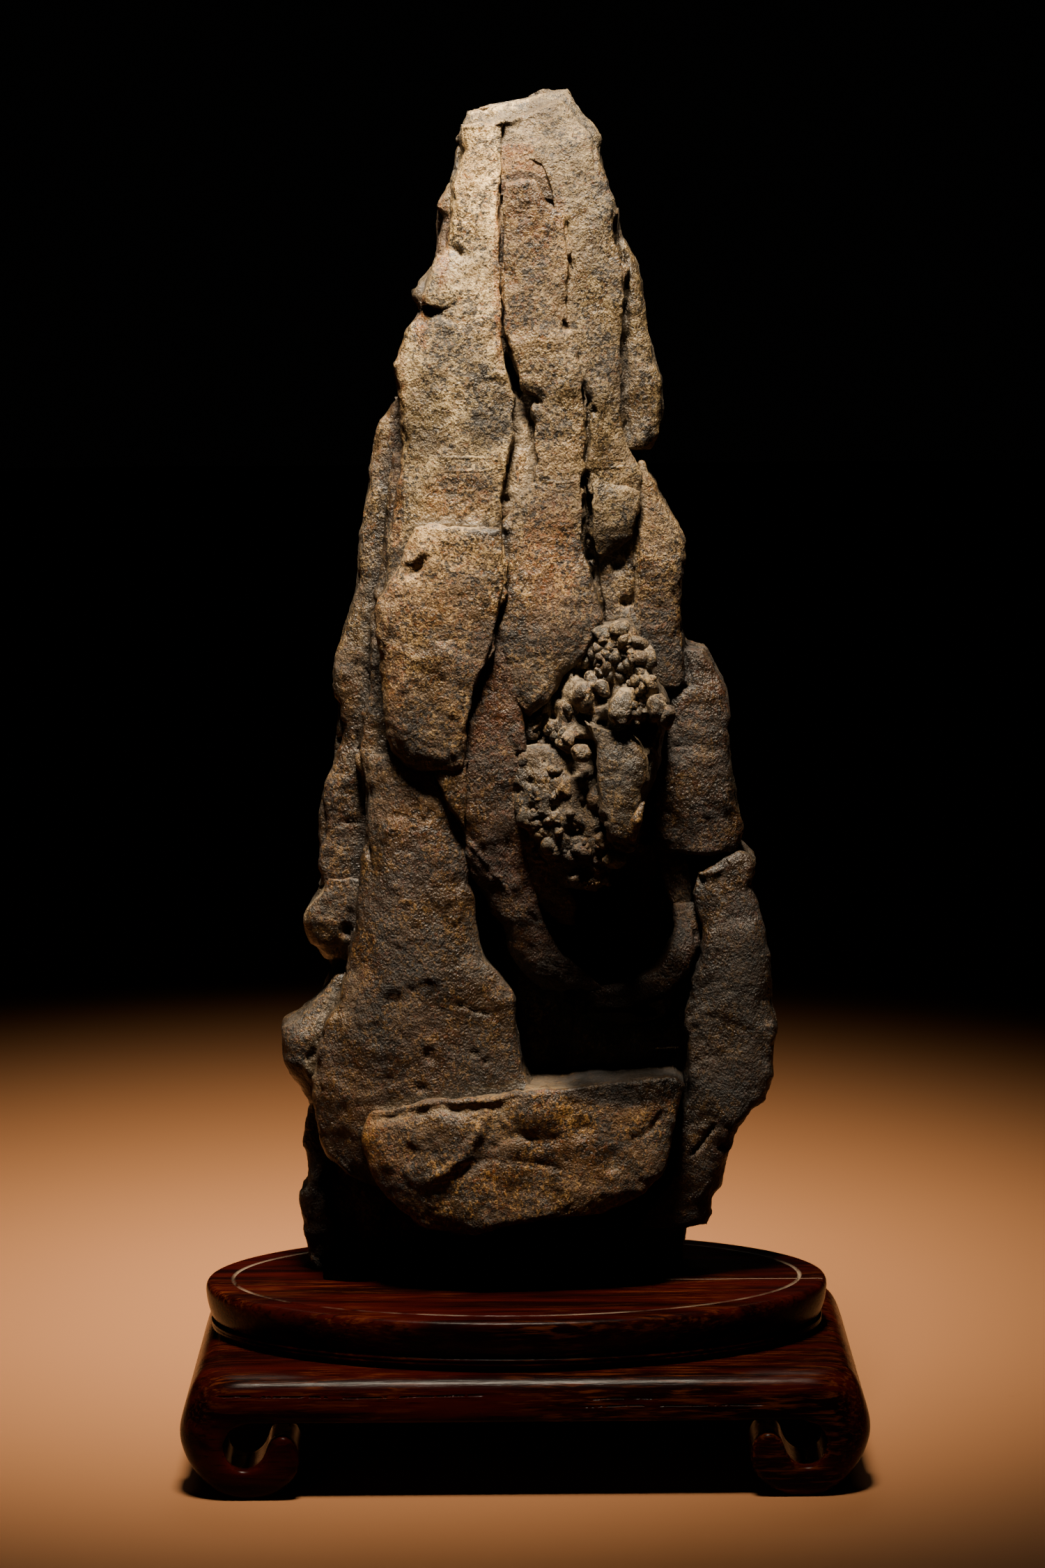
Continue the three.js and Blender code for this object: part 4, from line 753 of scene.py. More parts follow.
# Thin raised layers: height, softness of the edge, and outline on the drawing
PLATES = [
    (0.9, 3.0, [(-3, 415), (9, 421), (20, 416), (24, 402), (15, 396), (3, 400)]),
    (0.7, 2.0, [(-44, 300), (-30, 304), (-14, 296), (-18, 280), (-22, 262), (-42, 262), (-48, 280)]),
    (0.8, 2.0, [(-50, 240), (-34, 236), (-26, 210), (-30, 180), (-52, 172), (-58, 200)]),
    (0.8, 2.0, [(70, 196), (88, 200), (92, 176), (86, 160), (70, 166)]),
    (0.7, 2.0, [(56, 262), (76, 264), (80, 244), (64, 236), (54, 244)]),
    (0.8, 0.8, [(-56, 330), (-46, 318), (-52, 296), (-62, 300)]),
    (1.5, 4.0, [(-52, 126), (-57, 120), (-55, 108), (-44, 98), (-34, 99), (-22, 112), (-17, 122),
                (-20, 128)]),
    (1.6, 4.5, [(-6, 132), (-4, 125), (3, 121), (11, 123), (15, 130), (10, 137), (0, 136)]),
]


def distance_to_line(u, v, line):
    """Distance of each drawn point to a line, and how far along the line its nearest place is, 0 to 1."""
    corners = np.array(line, dtype=float)
    lengths = np.linalg.norm(np.diff(corners, axis=0), axis=1)
    passed = np.concatenate([[0], np.cumsum(lengths)])
    nearest = np.full(len(u), 1e9)
    along = np.zeros(len(u))
    for k, length in enumerate(lengths):
        step = (corners[k + 1] - corners[k]) / length
        reach = np.clip((u - corners[k, 0]) * step[0] + (v - corners[k, 1]) * step[1], 0, length)
        gap = np.hypot(u - corners[k, 0] - reach * step[0], v - corners[k, 1] - reach * step[1])
        closer = gap < nearest
        nearest = np.where(closer, gap, nearest)
        along = np.where(closer, (passed[k] + reach) / passed[-1], along)
    return nearest, along


def inside_outline(u, v, outline):
    """Distance inside a closed outline, negative outside it."""
    gap, _ = distance_to_line(u, v, outline + [outline[0]])
    inside = np.zeros(len(u), dtype=bool)
    for (x0, z0), (x1, z1) in zip(outline, outline[1:] + [outline[0]]):
        if z0 != z1:
            crosses = (z0 > v) != (z1 > v)
            inside ^= crosses & (u < x0 + (v - z0) * (x1 - x0) / (z1 - z0))
    return np.where(inside, gap, -gap)


def drawn_relief(points):
    """Height of the drawn lines, pits and plates at each point, in and out of the surface."""
    across, up = drawn(points)
    picked = np.where(front_layer(points))[0]
    near = points[picked]
    u = across[picked] + 1.1 * layered_noise(near, 9, 31, 2) + 0.3 * smooth_noise(near / 2.5, 33)
    v = up[picked] + 1.1 * layered_noise(near, 9, 35, 2) + 0.3 * smooth_noise(near / 2.5, 37)
    uneven = 0.85 + 0.35 * smooth_noise(near / 6, 39)
    local = np.zeros(len(picked))
    for width, depth, line in LINES:
        gap, along = distance_to_line(u, v, line)
        profile = np.clip(1 - (gap / (LINE_WIDTH * width)) ** 2, 0, 1) ** 1.5
        ends = ramp(along, 0, 0.1) * ramp(1 - along, 0, 0.1)
        local -= LINE_DEPTH * depth * profile * (0.35 + 0.65 * ends) * uneven
    for x, z, radius, depth in PITS:
        local -= depth * np.clip(1 - (np.hypot(u - x, v - z) / radius) ** 2, 0, 1)
    for raise_by, softness, outline in PLATES:
        local += raise_by * ramp(inside_outline(u, v, outline), -softness, softness)
    height = np.zeros(len(points))
    height[picked] = local
    return height


def field(points, x, z, half_width, half_height):
    """1 in the middle of a soft oval of the drawing, 0 outside it."""
    across, up = drawn(points)
    away = np.hypot((across - x) / half_width, (up - z) / half_height)
    return 1 - ramp(away, 0.7, 1.15)


# Ovals of the drawing over the cluster: the one with pits, and the wider one with its own margin for the body
CLUSTER_PITTED = (25, 262, 34, 54)
CLUSTER_AREA = (25, 262, 36, 58)


def granular_relief(points, normals):
    """Natural relief all over: swells, lumps, layers with broken edges and grit, and the cluster's pits."""
    cluster = field(points, *CLUSTER_PITTED) * (points[:, 1] < -8)
    swells = 0.55 * layered_noise(points, 28, 41, 2, stretch=(1, 1, 1.8))
    lumps = 0.36 * layered_noise(points, 9, 45, 3, stretch=(1, 1, 1.3))
    layers = layered_noise(points, 24, 51, 3, stretch=(1, 0.5, 2.4))
    steps = ramp(layers, 0.05, 0.11) + ramp(layers, 0.42, 0.48) - ramp(layers, -0.45, -0.39)
    terraces = 0.4 * steps * (0.4 + 0.6 * ramp(smooth_noise(points / 30, 55), -0.2, 0.3))
    craters = cell_noise(points + 1.2 * smooth_noise(points / 3, 57)[:, None], 4.6, 61)
    pitted = ramp(smooth_noise(points / 24, 63), -0.1, 0.4) * ramp(np.abs(normals[:, 1]), 0.5, 0.8) * cluster
    pits = -0.5 * (1 - ramp(craters, 0.08, 0.30)) * pitted
    grit = 0.22 * layered_noise(points, 3.4, 65, 3) * (1 + ramp(smooth_noise(points / 15, 67), -0.2, 0.4))
    return swells + lumps * (1 + cluster) + terraces + pits + grit


def wavered(points):
    """Points moved so that straight outlines waver, those behind one another much alike."""
    flat = points * (1, 0.2, 1)
    wide = np.stack([layered_noise(flat, 15, seed, 2) for seed in (1, 4, 7)], axis=1)
    near = np.stack([smooth_noise(flat / 5.5, seed) for seed in (11, 14, 17)], axis=1)
    fine = np.stack([smooth_noise(flat / 2.7, seed) for seed in (21, 24, 27)], axis=1)
    return points + wide * (0.9, 0.3, 0.9) + near * (0.45, 0.15, 0.45) + fine * (0.12, 0.06, 0.12)


def highest_around(grid):
    """The highest value in each cell and the eight around it."""
    shifts = (-1, 0, 1)
    return np.maximum.reduce([np.roll(grid, (i, j), axis=(0, 1)) for i in shifts for j in shifts])


# The body lies this far behind the layers that cover it. What stands in front of them by up to the margin,
# which is smaller at the cluster, is taken to be under them, and the push that sets it back is eased out
# around it. The step is the most that a layer's edge is lowered to what lies beside it.
SET_BACK = 1.6
UNDER_MARGIN = 12
CLUSTER_MARGIN = 6
DEEPEST_STEP = 4


def body_mesh(layers):
    """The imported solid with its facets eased, set back a little under the points of the layers."""
    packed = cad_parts["stone"].data
    faces = [tuple(polygon.vertices) for polygon in packed.polygons]
    points, faces = joined([(read_points(packed) / MM, faces)] + [lump(*nub) for nub in NUBS])
    mesh = with_modifier(solid_mesh("stone_form", points, faces), "REMESH", mode="VOXEL", voxel_size=VOXEL)
    surface = Surface(mesh)
    surface.points = wavered(surface.points)
    surface.ease_facets(int(14 / VOXEL))
    for side in (1, -1):
        mirror = (1, side, 1)
        faces_here = layers[layers[:, 1] * side < FRONT_END * side]
        covers = depth_map(faces_here * mirror)[0]
        filled = np.where(covers < EMPTY, covers, -EMPTY)
        for _ in range(2):
            filled = np.where(filled > -EMPTY, filled, highest_around(filled))
        covers = np.where(filled > -EMPTY, filled, EMPTY)
        _, row, column = depth_map(surface.points * mirror)
        cover = covers[row, column]
        floor = np.minimum(highest_around(filled)[row, column], cover + DEEPEST_STEP) + SET_BACK
        depth = surface.points[:, 1] * side
        cluster = field(surface.points, *CLUSTER_AREA) * (side > 0)
        margin = UNDER_MARGIN - (UNDER_MARGIN - CLUSTER_MARGIN) * cluster
        under = (depth > cover - margin) & (depth < floor)
        push = np.where(under, floor - depth, 0)
        push = np.maximum(push, surface.averaged(push, int(8 / VOXEL)))
        surface.points[:, 1] = side * (depth + push)
    write_points(mesh, surface.points)
    return mesh


def layer_mesh(name, slabs):
    """Layers joined as one mesh, each still a closed slab, with their own tone and share of rust."""
    solids = [layer(slab) for slab in slabs]
    counts = [len(points) for points, _ in solids]
    points, faces = joined(solids)
    mesh = solid_mesh(name, wavered(np.array(points)), faces)
    add_attribute(mesh, "tone", np.repeat([slab.tone for slab in slabs], counts))
    add_attribute(mesh, "rust", np.repeat([slab.rust for slab in slabs], counts))
    return mesh


def shaped_stone():
    """The stone's body and the layers on it, in millimetres."""
    upper = layer_mesh("stone_upper_layers", UPPER_LAYERS)
    lower = layer_mesh("stone_lower_layers", LOWER_LAYERS)
    back = layer_mesh("stone_back_layers", BACK_LAYERS)
    body = body_mesh(np.concatenate([read_points(mesh) for mesh in (upper, lower, back)]))
    meshes = [body, upper, lower, back]
    surfaces = [Surface(mesh) for mesh in meshes]
    normals = np.concatenate([surface.normals(3) for surface in surfaces])
    points = np.concatenate([surface.points for surface in surfaces])
    height = drawn_relief(points) + granular_relief(points, normals)
    points = points + normals * height[:, None]
    points[:, 2] = np.maximum(points[:, 2], STONE_FOOT)
    for mesh, part in zip(meshes, parted(points, surfaces)):
        write_points(mesh, part)
    body.calc_loop_triangles()
    share = min(STONE_TRIANGLES / len(body.loop_triangles), 1)
    body = with_modifier(body, "DECIMATE", ratio=share, use_collapse_triangulate=True)
    return [body, upper, lower, back]


# Soft ovals of the drawing with rust in them: x, z, half width, half height, strength
RUST_SPOTS = [
    (8, 463, 12, 10, 0.9), (12, 340, 12, 26, 0.8), (-46, 400, 6, 30, 0.5),
    (-27, 455, 3, 22, 1.0), (-35, 425, 3, 12, 1.0), (-45, 372, 3, 40, 0.9), (-6, 440, 2.5, 36, 0.9),
    (-22, 360, 14, 12, 0.6), (-46, 300, 5, 40, 0.6), (28, 165, 24, 10, 0.4),
]
# Those with pale dust
DUST_SPOTS = [
    (24, 272, 32, 44, 1.0), (0, 380, 7, 34, 0.9), (-28, 352, 18, 7, 0.8), (36, 364, 11, 6, 0.6),
    (-25, 440, 16, 12, 0.5), (4, 490, 24, 12, 0.6), (38, 330, 8, 14, 0.5), (-75, 200, 9, 16, 0.8),
    (-82, 142, 8, 8, 0.7), (0, 136, 24, 6, 0.5), (-30, 131, 30, 4, 0.5), (-60, 340, 6, 60, 0.35),
]
# Those that are lighter or darker than the rest. The darkest, on the bottom lump's top right, on the rim
# under the hollow, in the recess at the lower left and on the toe, are painted shade
TONE_AND_SHADE_SPOTS = [
    (-35, 388, 10, 14, 0.5), (-11, 392, 9, 18, 0.5), (9, 336, 14, 20, 1.9), (-16, 476, 12, 26, 1.45),
    (7, 442, 9, 16, 1.2), (-22, 410, 14, 14, 0.86), (-8, 468, 3, 34, 1.35), (18, 452, 3, 16, 1.3),
    (7, 466, 9, 9, 0.7), (-18, 436, 12, 7, 1.2), (-30, 343, 22, 4, 1.35), (30, 450, 8, 30, 0.85),
    (-30, 290, 16, 20, 0.85), (-30, 322, 20, 22, 1.15), (14, 380, 10, 16, 1.25), (40, 138, 28, 9, 0.1),
    (34, 176, 34, 22, 0.35), (-40, 240, 18, 12, 1.15), (-66, 84, 20, 26, 0.5), (20, 256, 34, 54, 1.12),
    (-66, 68, 16, 9, 0.2),
]
# Rust and tone of the body, which has none of its own, and what all of the nodules have
BODY_RUST = 0.25
BODY_TONE = 0.75
NODULE_LOOK = {"rust": 0.15, "dust": 1.0, "tone": 0.75}


def crevices(points):
    """1 where a point is well behind its surroundings in the drawing, 0 where it isn't."""
    shares = []
    for side in (1, -1):
        around, row, column = depth_map(points * (1, side, 1), 1.0)
        for _ in range(3):
            around[1:-1, 1:-1] = np.minimum.reduce([
                around[1:-1, 1:-1], around[:-2, 1:-1], around[2:, 1:-1], around[1:-1, :-2], around[1:-1, 2:]])
        shares.append(ramp(points[:, 1] * side - around[row, column], 1.6, 5.0))
    return np.minimum(*shares)


def stone_attributes(meshes):
    """Hollowness, rust, dust and tone at each point of the stone's meshes, for the material."""
    surfaces = [Surface(mesh) for mesh in meshes]
    deep = crevices(np.concatenate([surface.points for surface in surfaces]))
    for mesh, surface, crevice in zip(meshes, surfaces, parted(deep, surfaces)):
        points = surface.points
        normals = surface.normals()
        front = surface.averaged((points[:, 1] < FRONT_END).astype(float), 4)

        def hollowness(rounds, full):
            bend = np.einsum("ij,ij->i", surface.averaged(points, rounds) - points, normals)
            return 0.5 * np.clip(bend / full, -1, 1)

        def with_spots(values, spots):
            for x, z, half_width, half_height, strength in spots:
                values = np.maximum(values, strength * field(points, x, z, half_width, half_height) * front)
            return values

        # the material puts dust and painted shade where this is high, and wear with a painted highlight where
        # it is low
        hollow = np.maximum(hollowness(3, 0.5) + hollowness(22, 2.2), 0.9 * crevice)
        patches = ramp(layered_noise(points, 30, 71, 3, stretch=(1, 1, 1.6)), -0.2, 0.6)
        rust = with_spots(read_attribute(mesh, "rust", BODY_RUST) * (0.7 + 0.6 * patches), RUST_SPOTS)
        dust = with_spots(0.3 * ramp(smooth_noise(points / 30, 75), 0, 0.5), DUST_SPOTS)
        tone = read_attribute(mesh, "tone", BODY_TONE) * (1 + 0.4 * layered_noise(points, 24, 77, 3))
        # these lighten or darken the tone; the darkest of them are painted shade under overhangs
        for x, z, half_width, half_height, strength in TONE_AND_SHADE_SPOTS:
            tone *= 1 + (strength - 1) * field(points, x, z, half_width, half_height) * front
        for name, values in (("hollow", hollow), ("rust", rust), ("dust", dust), ("tone", tone)):
            add_attribute(mesh, name, values)


def read_attribute(mesh, name, otherwise):
    """The values of a point attribute, or one value for all where there is none."""
    values = np.full(len(mesh.vertices), otherwise, dtype=np.float32)
    if name in mesh.attributes:
        mesh.attributes[name].data.foreach_get("value", values)
    return values


def add_attribute(mesh, name, values):
    attribute = mesh.attributes.get(name) or mesh.attributes.new(name, "FLOAT", "POINT")
    attribute.data.foreach_set("value", np.asarray(values, dtype=np.float32))


def pebble_mesh(pebbles):
    """The nodules as one mesh. Each counts as hollow towards its foot, where the material adds dust and
    painted shade, and as worn towards its front, where it adds wear and a painted highlight.
    """
    mesh = solid_mesh("stone_nodules", *joined([solid for _, _, solid in pebbles]))
    depth = np.concatenate([(points[:, 1] - middle) / size for middle, size, (points, _) in pebbles])
    points = read_points(mesh)
    points += 0.34 * np.stack([layered_noise(points, 2.2, seed, 3) for seed in (81, 84, 87)], axis=1)
    write_points(mesh, points)
    add_attribute(mesh, "hollow", ramp(depth, -0.7, 0.1) * 0.9 - 0.4)
    for name, value in NODULE_LOOK.items():
        add_attribute(mesh, name, np.full(len(points), value))
    return mesh


# Materials

class Nodes:
    """Short calls for building a material's nodes."""

    def __init__(self, name):
        self.material = bpy.data.materials.new(name)
        self.material.use_nodes = True
        self.tree = self.material.node_tree
        self.shader = self.tree.nodes["Principled BSDF"]
        self.place = self.add("TexCoord", {}, "Object")

    def link(self, value, socket):
        if isinstance(value, (int, float, tuple)):
            socket.default_value = value
        else:
            self.tree.links.new(value, socket)

    def add(self, kind, inputs, output=0, **settings):
        """One output of a new node that has these settings and inputs."""
        node = self.tree.nodes.new("ShaderNode" + kind)
        for name, value in settings.items():
            setattr(node, name, value)
        for name, value in inputs.items():
            self.link(value, node.inputs[name])
        return node.outputs[output]

    def surface(self, **inputs):
        """Sets the shader's inputs, whose names have underscores for spaces here."""
        for name, value in inputs.items():
            self.link(value, self.shader.inputs[name.replace("_", " ")])

    def scaled(self, x, y, z):
        """The object's coordinates, scaled along each axis."""
        return self.add("Mapping", {"Vector": self.place, "Scale": (x, y, z)})

    def separate(self):
        """The object's coordinates along X, Y and Z."""
        return [self.add("SeparateXYZ", {0: self.place}, axis) for axis in range(3)]

    def noise(self, scale, detail, roughness=0.55, place=None, distortion=0.0):
        inputs = {"Vector": place or self.place, "Scale": scale, "Detail": detail}
        return self.add("TexNoise", {**inputs, "Roughness": roughness, "Distortion": distortion}, "Fac")

    def attribute(self, name):
        return self.add("Attribute", {}, "Fac", attribute_name=name)

    def rise(self, value, low, high, top=1.0):
        """From 0 where the value is low to top where it is high."""
        inputs = {"Value": value, "From Min": low, "From Max": high, "To Max": top}
        return self.add("MapRange", inputs, "Result", interpolation_type="SMOOTHSTEP")

    def math(self, operation, a, b=0.5):
        return self.add("Math", {0: a, 1: b}, operation=operation)

    def plus(self, a, b):
        return self.math("ADD", a, b)

    def minus(self, a, b):
        return self.math("SUBTRACT", a, b)

    def times(self, a, b):
        return self.math("MULTIPLY", a, b)

    def mix(self, share, a, b, blend="MIX"):
        return self.add("Mix", {"Factor": share, 6: a, 7: b}, 2, data_type="RGBA", blend_type=blend)

    def tint(self, a, b):
        return self.mix(1.0, a, b, "MULTIPLY")

    def bump(self, height, distance, strength=1.0, below=None):
        inputs = {"Height": height, "Distance": distance, "Strength": strength}
        if below is not None:
            inputs["Normal"] = below
        return self.add("Bump", inputs, "Normal")

    def waver(self, scale, detail, reach):
        """Noise around 0, over a range of about the reach."""
        return self.times(self.minus(self.noise(scale, detail), 0.5), reach)

    def level_lines(self, table, wave, edge, taper, breaks, front):
        """1 on thin level lines, each with a height, start and end in the table, 0 elsewhere.

        The wave is the scale of the first line's noise, the step to the next one's, the detail and the reach.
        The edge is how far from its middle a line starts and is full, the taper how long its ends are, the
        breaks a noise's scale and where on it the lines start and are full, and the front the same along Y.
        """
        x, y, z = self.separate()
        scale, step, detail, reach = wave
        lines = 0.0
        for k, (level, start, end) in enumerate(table):
            place = self.plus(z, self.waver(scale + step * k, detail, reach))
            gap = self.math("ABSOLUTE", self.minus(place, level))
            line = self.times(self.rise(gap, *edge), self.rise(x, start, start + taper))
            lines = self.math("MAXIMUM", self.times(line, self.rise(x, end, end - taper)), lines)
        scale, low, high = breaks
        lines = self.times(lines, self.rise(self.noise(scale, 2), low, high))
        return self.times(lines, self.rise(y, *front))


STONE_OLIVE = (0.060, 0.050, 0.036, 1)
STONE_BROWN = (0.130, 0.090, 0.048, 1)
STONE_TAN = (0.250, 0.166, 0.070, 1)
STONE_DARK = (0.014, 0.011, 0.008, 1)
STONE_PALE = (0.460, 0.335, 0.160, 1)
STONE_RUST = (0.200, 0.080, 0.014, 1)
STONE_OCHRE = (0.120, 0.060, 0.016, 1)
STONE_DUST = (0.330, 0.240, 0.140, 1)
# pale colour of worn edges, which is also a painted highlight on the ledges
STONE_WORN_HIGHLIGHT = (0.210, 0.180, 0.130, 1)
STONE_STAIN = (0.80, 0.56, 0.34, 1)
# tint of the painted shade low down on the stone
STONE_LOW_SHADE = (0.62, 0.46, 0.235, 1)
LOW_HEIGHT = 0.19
HIGH_HEIGHT = 0.42
# Thin level ridges across the slabs: height, and their start and end along X
RIDGES = [
    (0.3753, -0.033, -0.009), (0.3708, -0.028, -0.008), (0.3740, -0.056, -0.046),
    (0.3742, 0.026, 0.042), (0.3712, 0.026, 0.043), (0.3664, 0.008, 0.025),
]


def stone_material():
    nodes = Nodes("stone")
    height = nodes.separate()[2]
    rust = nodes.attribute("rust")
    hollow = nodes.attribute("hollow")
    upright = nodes.scaled(1.12, 1.0, 0.86)
    patches = nodes.noise(45, 5, 0.6)
    colour = nodes.mix(nodes.rise(patches, 0.40, 0.60), STONE_OLIVE, STONE_BROWN)
    # painted light: more tan, and more pale specks, higher up on the stone, nearer the lamp above
    high = nodes.rise(height, 0.26, 0.40, 0.22)
    tan = nodes.plus(nodes.noise(24, 5, 0.65), high)
    colour = nodes.mix(nodes.rise(tan, 0.50, 0.72, 0.9), colour, STONE_TAN)
    colour = nodes.mix(nodes.times(rust, 0.6), colour, STONE_OCHRE)
    # specks in clumps, pale and dark
    grains = nodes.noise(1250, 2, 0.6, place=upright)
    specks = nodes.noise(620, 3, 0.65, place=upright)
    pale = nodes.plus(specks, nodes.times(nodes.noise(85, 4, 0.6), 0.6))
    pale = nodes.plus(pale, nodes.times(high, 0.25))
    colour = nodes.mix(nodes.rise(pale, 0.83, 0.93, 0.9), colour, STONE_PALE)
    dark = nodes.plus(nodes.noise(600, 4, 0.65), nodes.times(nodes.noise(70, 4, 0.6), 0.6))
    colour = nodes.mix(nodes.rise(dark, 0.81, 0.90, 0.9), colour, STONE_DARK)
    colour = nodes.mix(nodes.rise(grains, 0.46, 0.34, 0.6), colour, STONE_DARK)
    # rust flecks
    flecks = nodes.plus(nodes.noise(500, 4, 0.7), nodes.times(rust, 0.10))
    colour = nodes.mix(nodes.rise(flecks, 0.60, 0.68, 0.8), colour, STONE_RUST)
    colour = nodes.mix(nodes.times(rust, 0.75), colour, nodes.tint(colour, STONE_STAIN))
    ridges = nodes.level_lines(
        RIDGES, (60, 7, 2, 0.0016), (0.0008, 0.0001), 0.005, (170, 0.36, 0.50), (0, -0.004))
    colour = nodes.mix(nodes.times(ridges, 0.08), colour, STONE_PALE)
    # browner and darker low down: painted shade where the light from above falls off
    low = nodes.rise(height, HIGH_HEIGHT, LOW_HEIGHT)
    colour = nodes.mix(low, colour, nodes.tint(colour, STONE_LOW_SHADE))
    # dust in hollows, painted shade in the deepest places, and pale where the edges are worn, which is wear
    # and a painted highlight
    dusty = nodes.times(nodes.rise(hollow, -0.05, 0.35), nodes.attribute("dust"))
    dusty = nodes.times(dusty, nodes.rise(nodes.noise(260, 3), 0.3, 0.5))
    colour = nodes.mix(dusty, colour, STONE_DUST)
    colour = nodes.mix(nodes.rise(hollow, 0.3, 0.9, 0.6), colour, STONE_DARK)
    worn_and_highlight = nodes.times(nodes.rise(hollow, -0.1, -0.6), nodes.rise(nodes.noise(60, 3), 0.40, 0.58))
    colour = nodes.mix(nodes.times(worn_and_highlight, 0.45), colour, STONE_WORN_HIGHLIGHT)
    tone = nodes.attribute("tone")
    smooth = nodes.rise(nodes.noise(55, 4, 0.6), 0.42, 0.62)
    rough = nodes.minus(0.58, nodes.times(nodes.math("MAXIMUM", worn_and_highlight, smooth), 0.22))
    # relief too fine for the mesh
    coarse = nodes.noise(330, 5, 0.7, place=upright)
    normal = nodes.bump(coarse, 0.0015, nodes.minus(0.9, nodes.times(smooth, 0.6)))
    normal = nodes.bump(specks, 0.0009, 0.8, below=normal)
    normal = nodes.bump(ridges, 0.0002, below=normal)
    nodes.surface(Base_Color=nodes.tint(colour, tone), Roughness=nodes.plus(rough, nodes.times(grains, 0.12)),
                  Specular_IOR_Level=nodes.rise(tone, 0.0, 0.25, 0.7),
                  Normal=nodes.bump(grains, 0.0005, below=normal))
    return nodes.material


def finish_piece(name, mesh, material, node):
    """Puts a mesh in the scene, in metres, in place of a node of the frame."""
    write_points(mesh, read_points(mesh) * MM)
    mesh.polygons.foreach_set("use_smooth", [True] * len(mesh.polygons))
    mesh.name = name
    piece = bpy.data.objects.new(name, mesh)
    bpy.context.scene.collection.objects.link(piece)
    mesh.materials.clear()
    mesh.materials.append(material)
    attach(piece, "root")
    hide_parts(node)


def make_stone():
    meshes = shaped_stone()
    # the back layers are left out here, as no nodule sits on them
    form = np.concatenate([read_points(mesh) for mesh in meshes[:3]])
    pebbles = pebble_mesh(cluster_pebbles(form))
    stone_attributes(meshes)
    material = stone_material()
    names = ("lingbi_stone", "stone_upper_layers", "stone_lower_layers", "stone_back_layers", "stone_nodules")
    for name, mesh in zip(names, meshes + [pebbles]):
        finish_piece(name, mesh, material, "stone")


# Stand, in millimetres: the oval board and band, and the base with its scrolled feet
BOARD_HALF_WIDTH = 117.5
BOARD_HALF_DEPTH = 69.5
BOARD_OFFSET_X = -2.9
BASE_HALF_WIDTH = 126.7
BASE_HALF_DEPTH = 76.0
BASE_TOP = 45.5
APRON_BOTTOM = 28.8
LEG_DEPTH = 26.0
CORNER_RADIUS = 15.0
CORNER_STEPS = 13
OVAL_SIDES = 180
WOOD_VOXEL = 1.2

# Profiles: how far each ring stands in from the board's outline, its height, and dust on it
BOARD_PROFILE = [
    (3.2, 50.9, 0), (2.4, 51.2, 0), (1.9, 52.0, 0), (1.3, 53.8, 0), (0.7, 56.0, 0), (0.25, 58.5, 0),
    (0.0, 61.0, 0), (0.1, 62.4, 0), (0.45, 63.4, 0), (1.0, 64.1, 0), (1.8, 64.45, 0), (3.0, 64.5, 0),
    (9.3, 64.5, 0), (9.6, 64.42, 0.5), (9.9, 64.0, 1), (10.25, 63.8, 1), (10.6, 64.0, 1), (10.9, 64.42, 0.5),
    (11.2, 64.5, 0), (20.0, 64.5, 0), (40.0, 64.5, 0), (60.0, 64.5, 0),
]
BAND_PROFILE = [
    (6.0, 45.8, 0), (3.9, 45.9, 0), (2.9, 46.4, 0), (2.2, 47.1, 0), (1.9, 47.9, 0), (1.95, 48.5, 0),
    (2.1, 48.9, 0), (1.8, 49.2, 0), (1.75, 49.7, 0), (2.1, 50.2, 0), (2.8, 50.5, 0), (6.0, 50.6, 0),
]
# Height, and how far the sides and the front of the base stand in from the widest
BASE_ROWS = [
    (0, 9, 2.5), (4, 5, 1), (13.8, 2, 0), (23, 0, 0), (34, 2.6, 0.4), (40, 5, 1.6), (43.4, 7.6, 4),
    (45, 11, 7.5), (45.5, 16, 12),
]
# Front outline of the left foot, from the outside of the leg round the scroll to the apron
SCROLL = [
    (-127, 23), (-124.2, 13.8), (-115.5, 4.6), (-106, 0), (-97, 0), (-89.2, 3.3), (-82.6, 10.5), (-82.4, 19),
    (-85.5, 23.6), (-89.5, 24.2), (-93.3, 22), (-94.3, 18.6), (-97, 13.8), (-102, 11.2), (-107.8, 13.8),
    (-109.6, 20), (-107.5, 26),
]


def smooth_path(corners, steps):
    """Points of a smooth curve through the corners."""
    corners = np.array(corners, dtype=float)
    ends = np.vstack([2 * corners[0] - corners[1], corners, 2 * corners[-1] - corners[-2]])
    path = []
    for a, b, c, d in zip(ends, ends[1:], ends[2:], ends[3:]):
        for share in np.arange(steps) / steps:
            path.append(0.5 * (2 * b + (c - a) * share + (2 * a - 5 * b + 4 * c - d) * share ** 2
                               + (3 * b - 3 * c + d - a) * share ** 3))
    path.append(corners[-1])
    return np.array(path)


def oval_mesh(name, profile):
    points = []
    dust = []
    angles = np.linspace(0, 2 * math.pi, OVAL_SIDES, endpoint=False)
    for inset, z, dusty in profile:
        for angle in angles:
            x = BOARD_OFFSET_X + (BOARD_HALF_WIDTH - inset) * math.cos(angle)
            points.append((x, (BOARD_HALF_DEPTH - inset) * math.sin(angle), z))
            dust.append(dusty)
    mesh = solid_mesh(name, points, tube_faces(len(profile), OVAL_SIDES))
    add_attribute(mesh, "dust", dust)
    return mesh


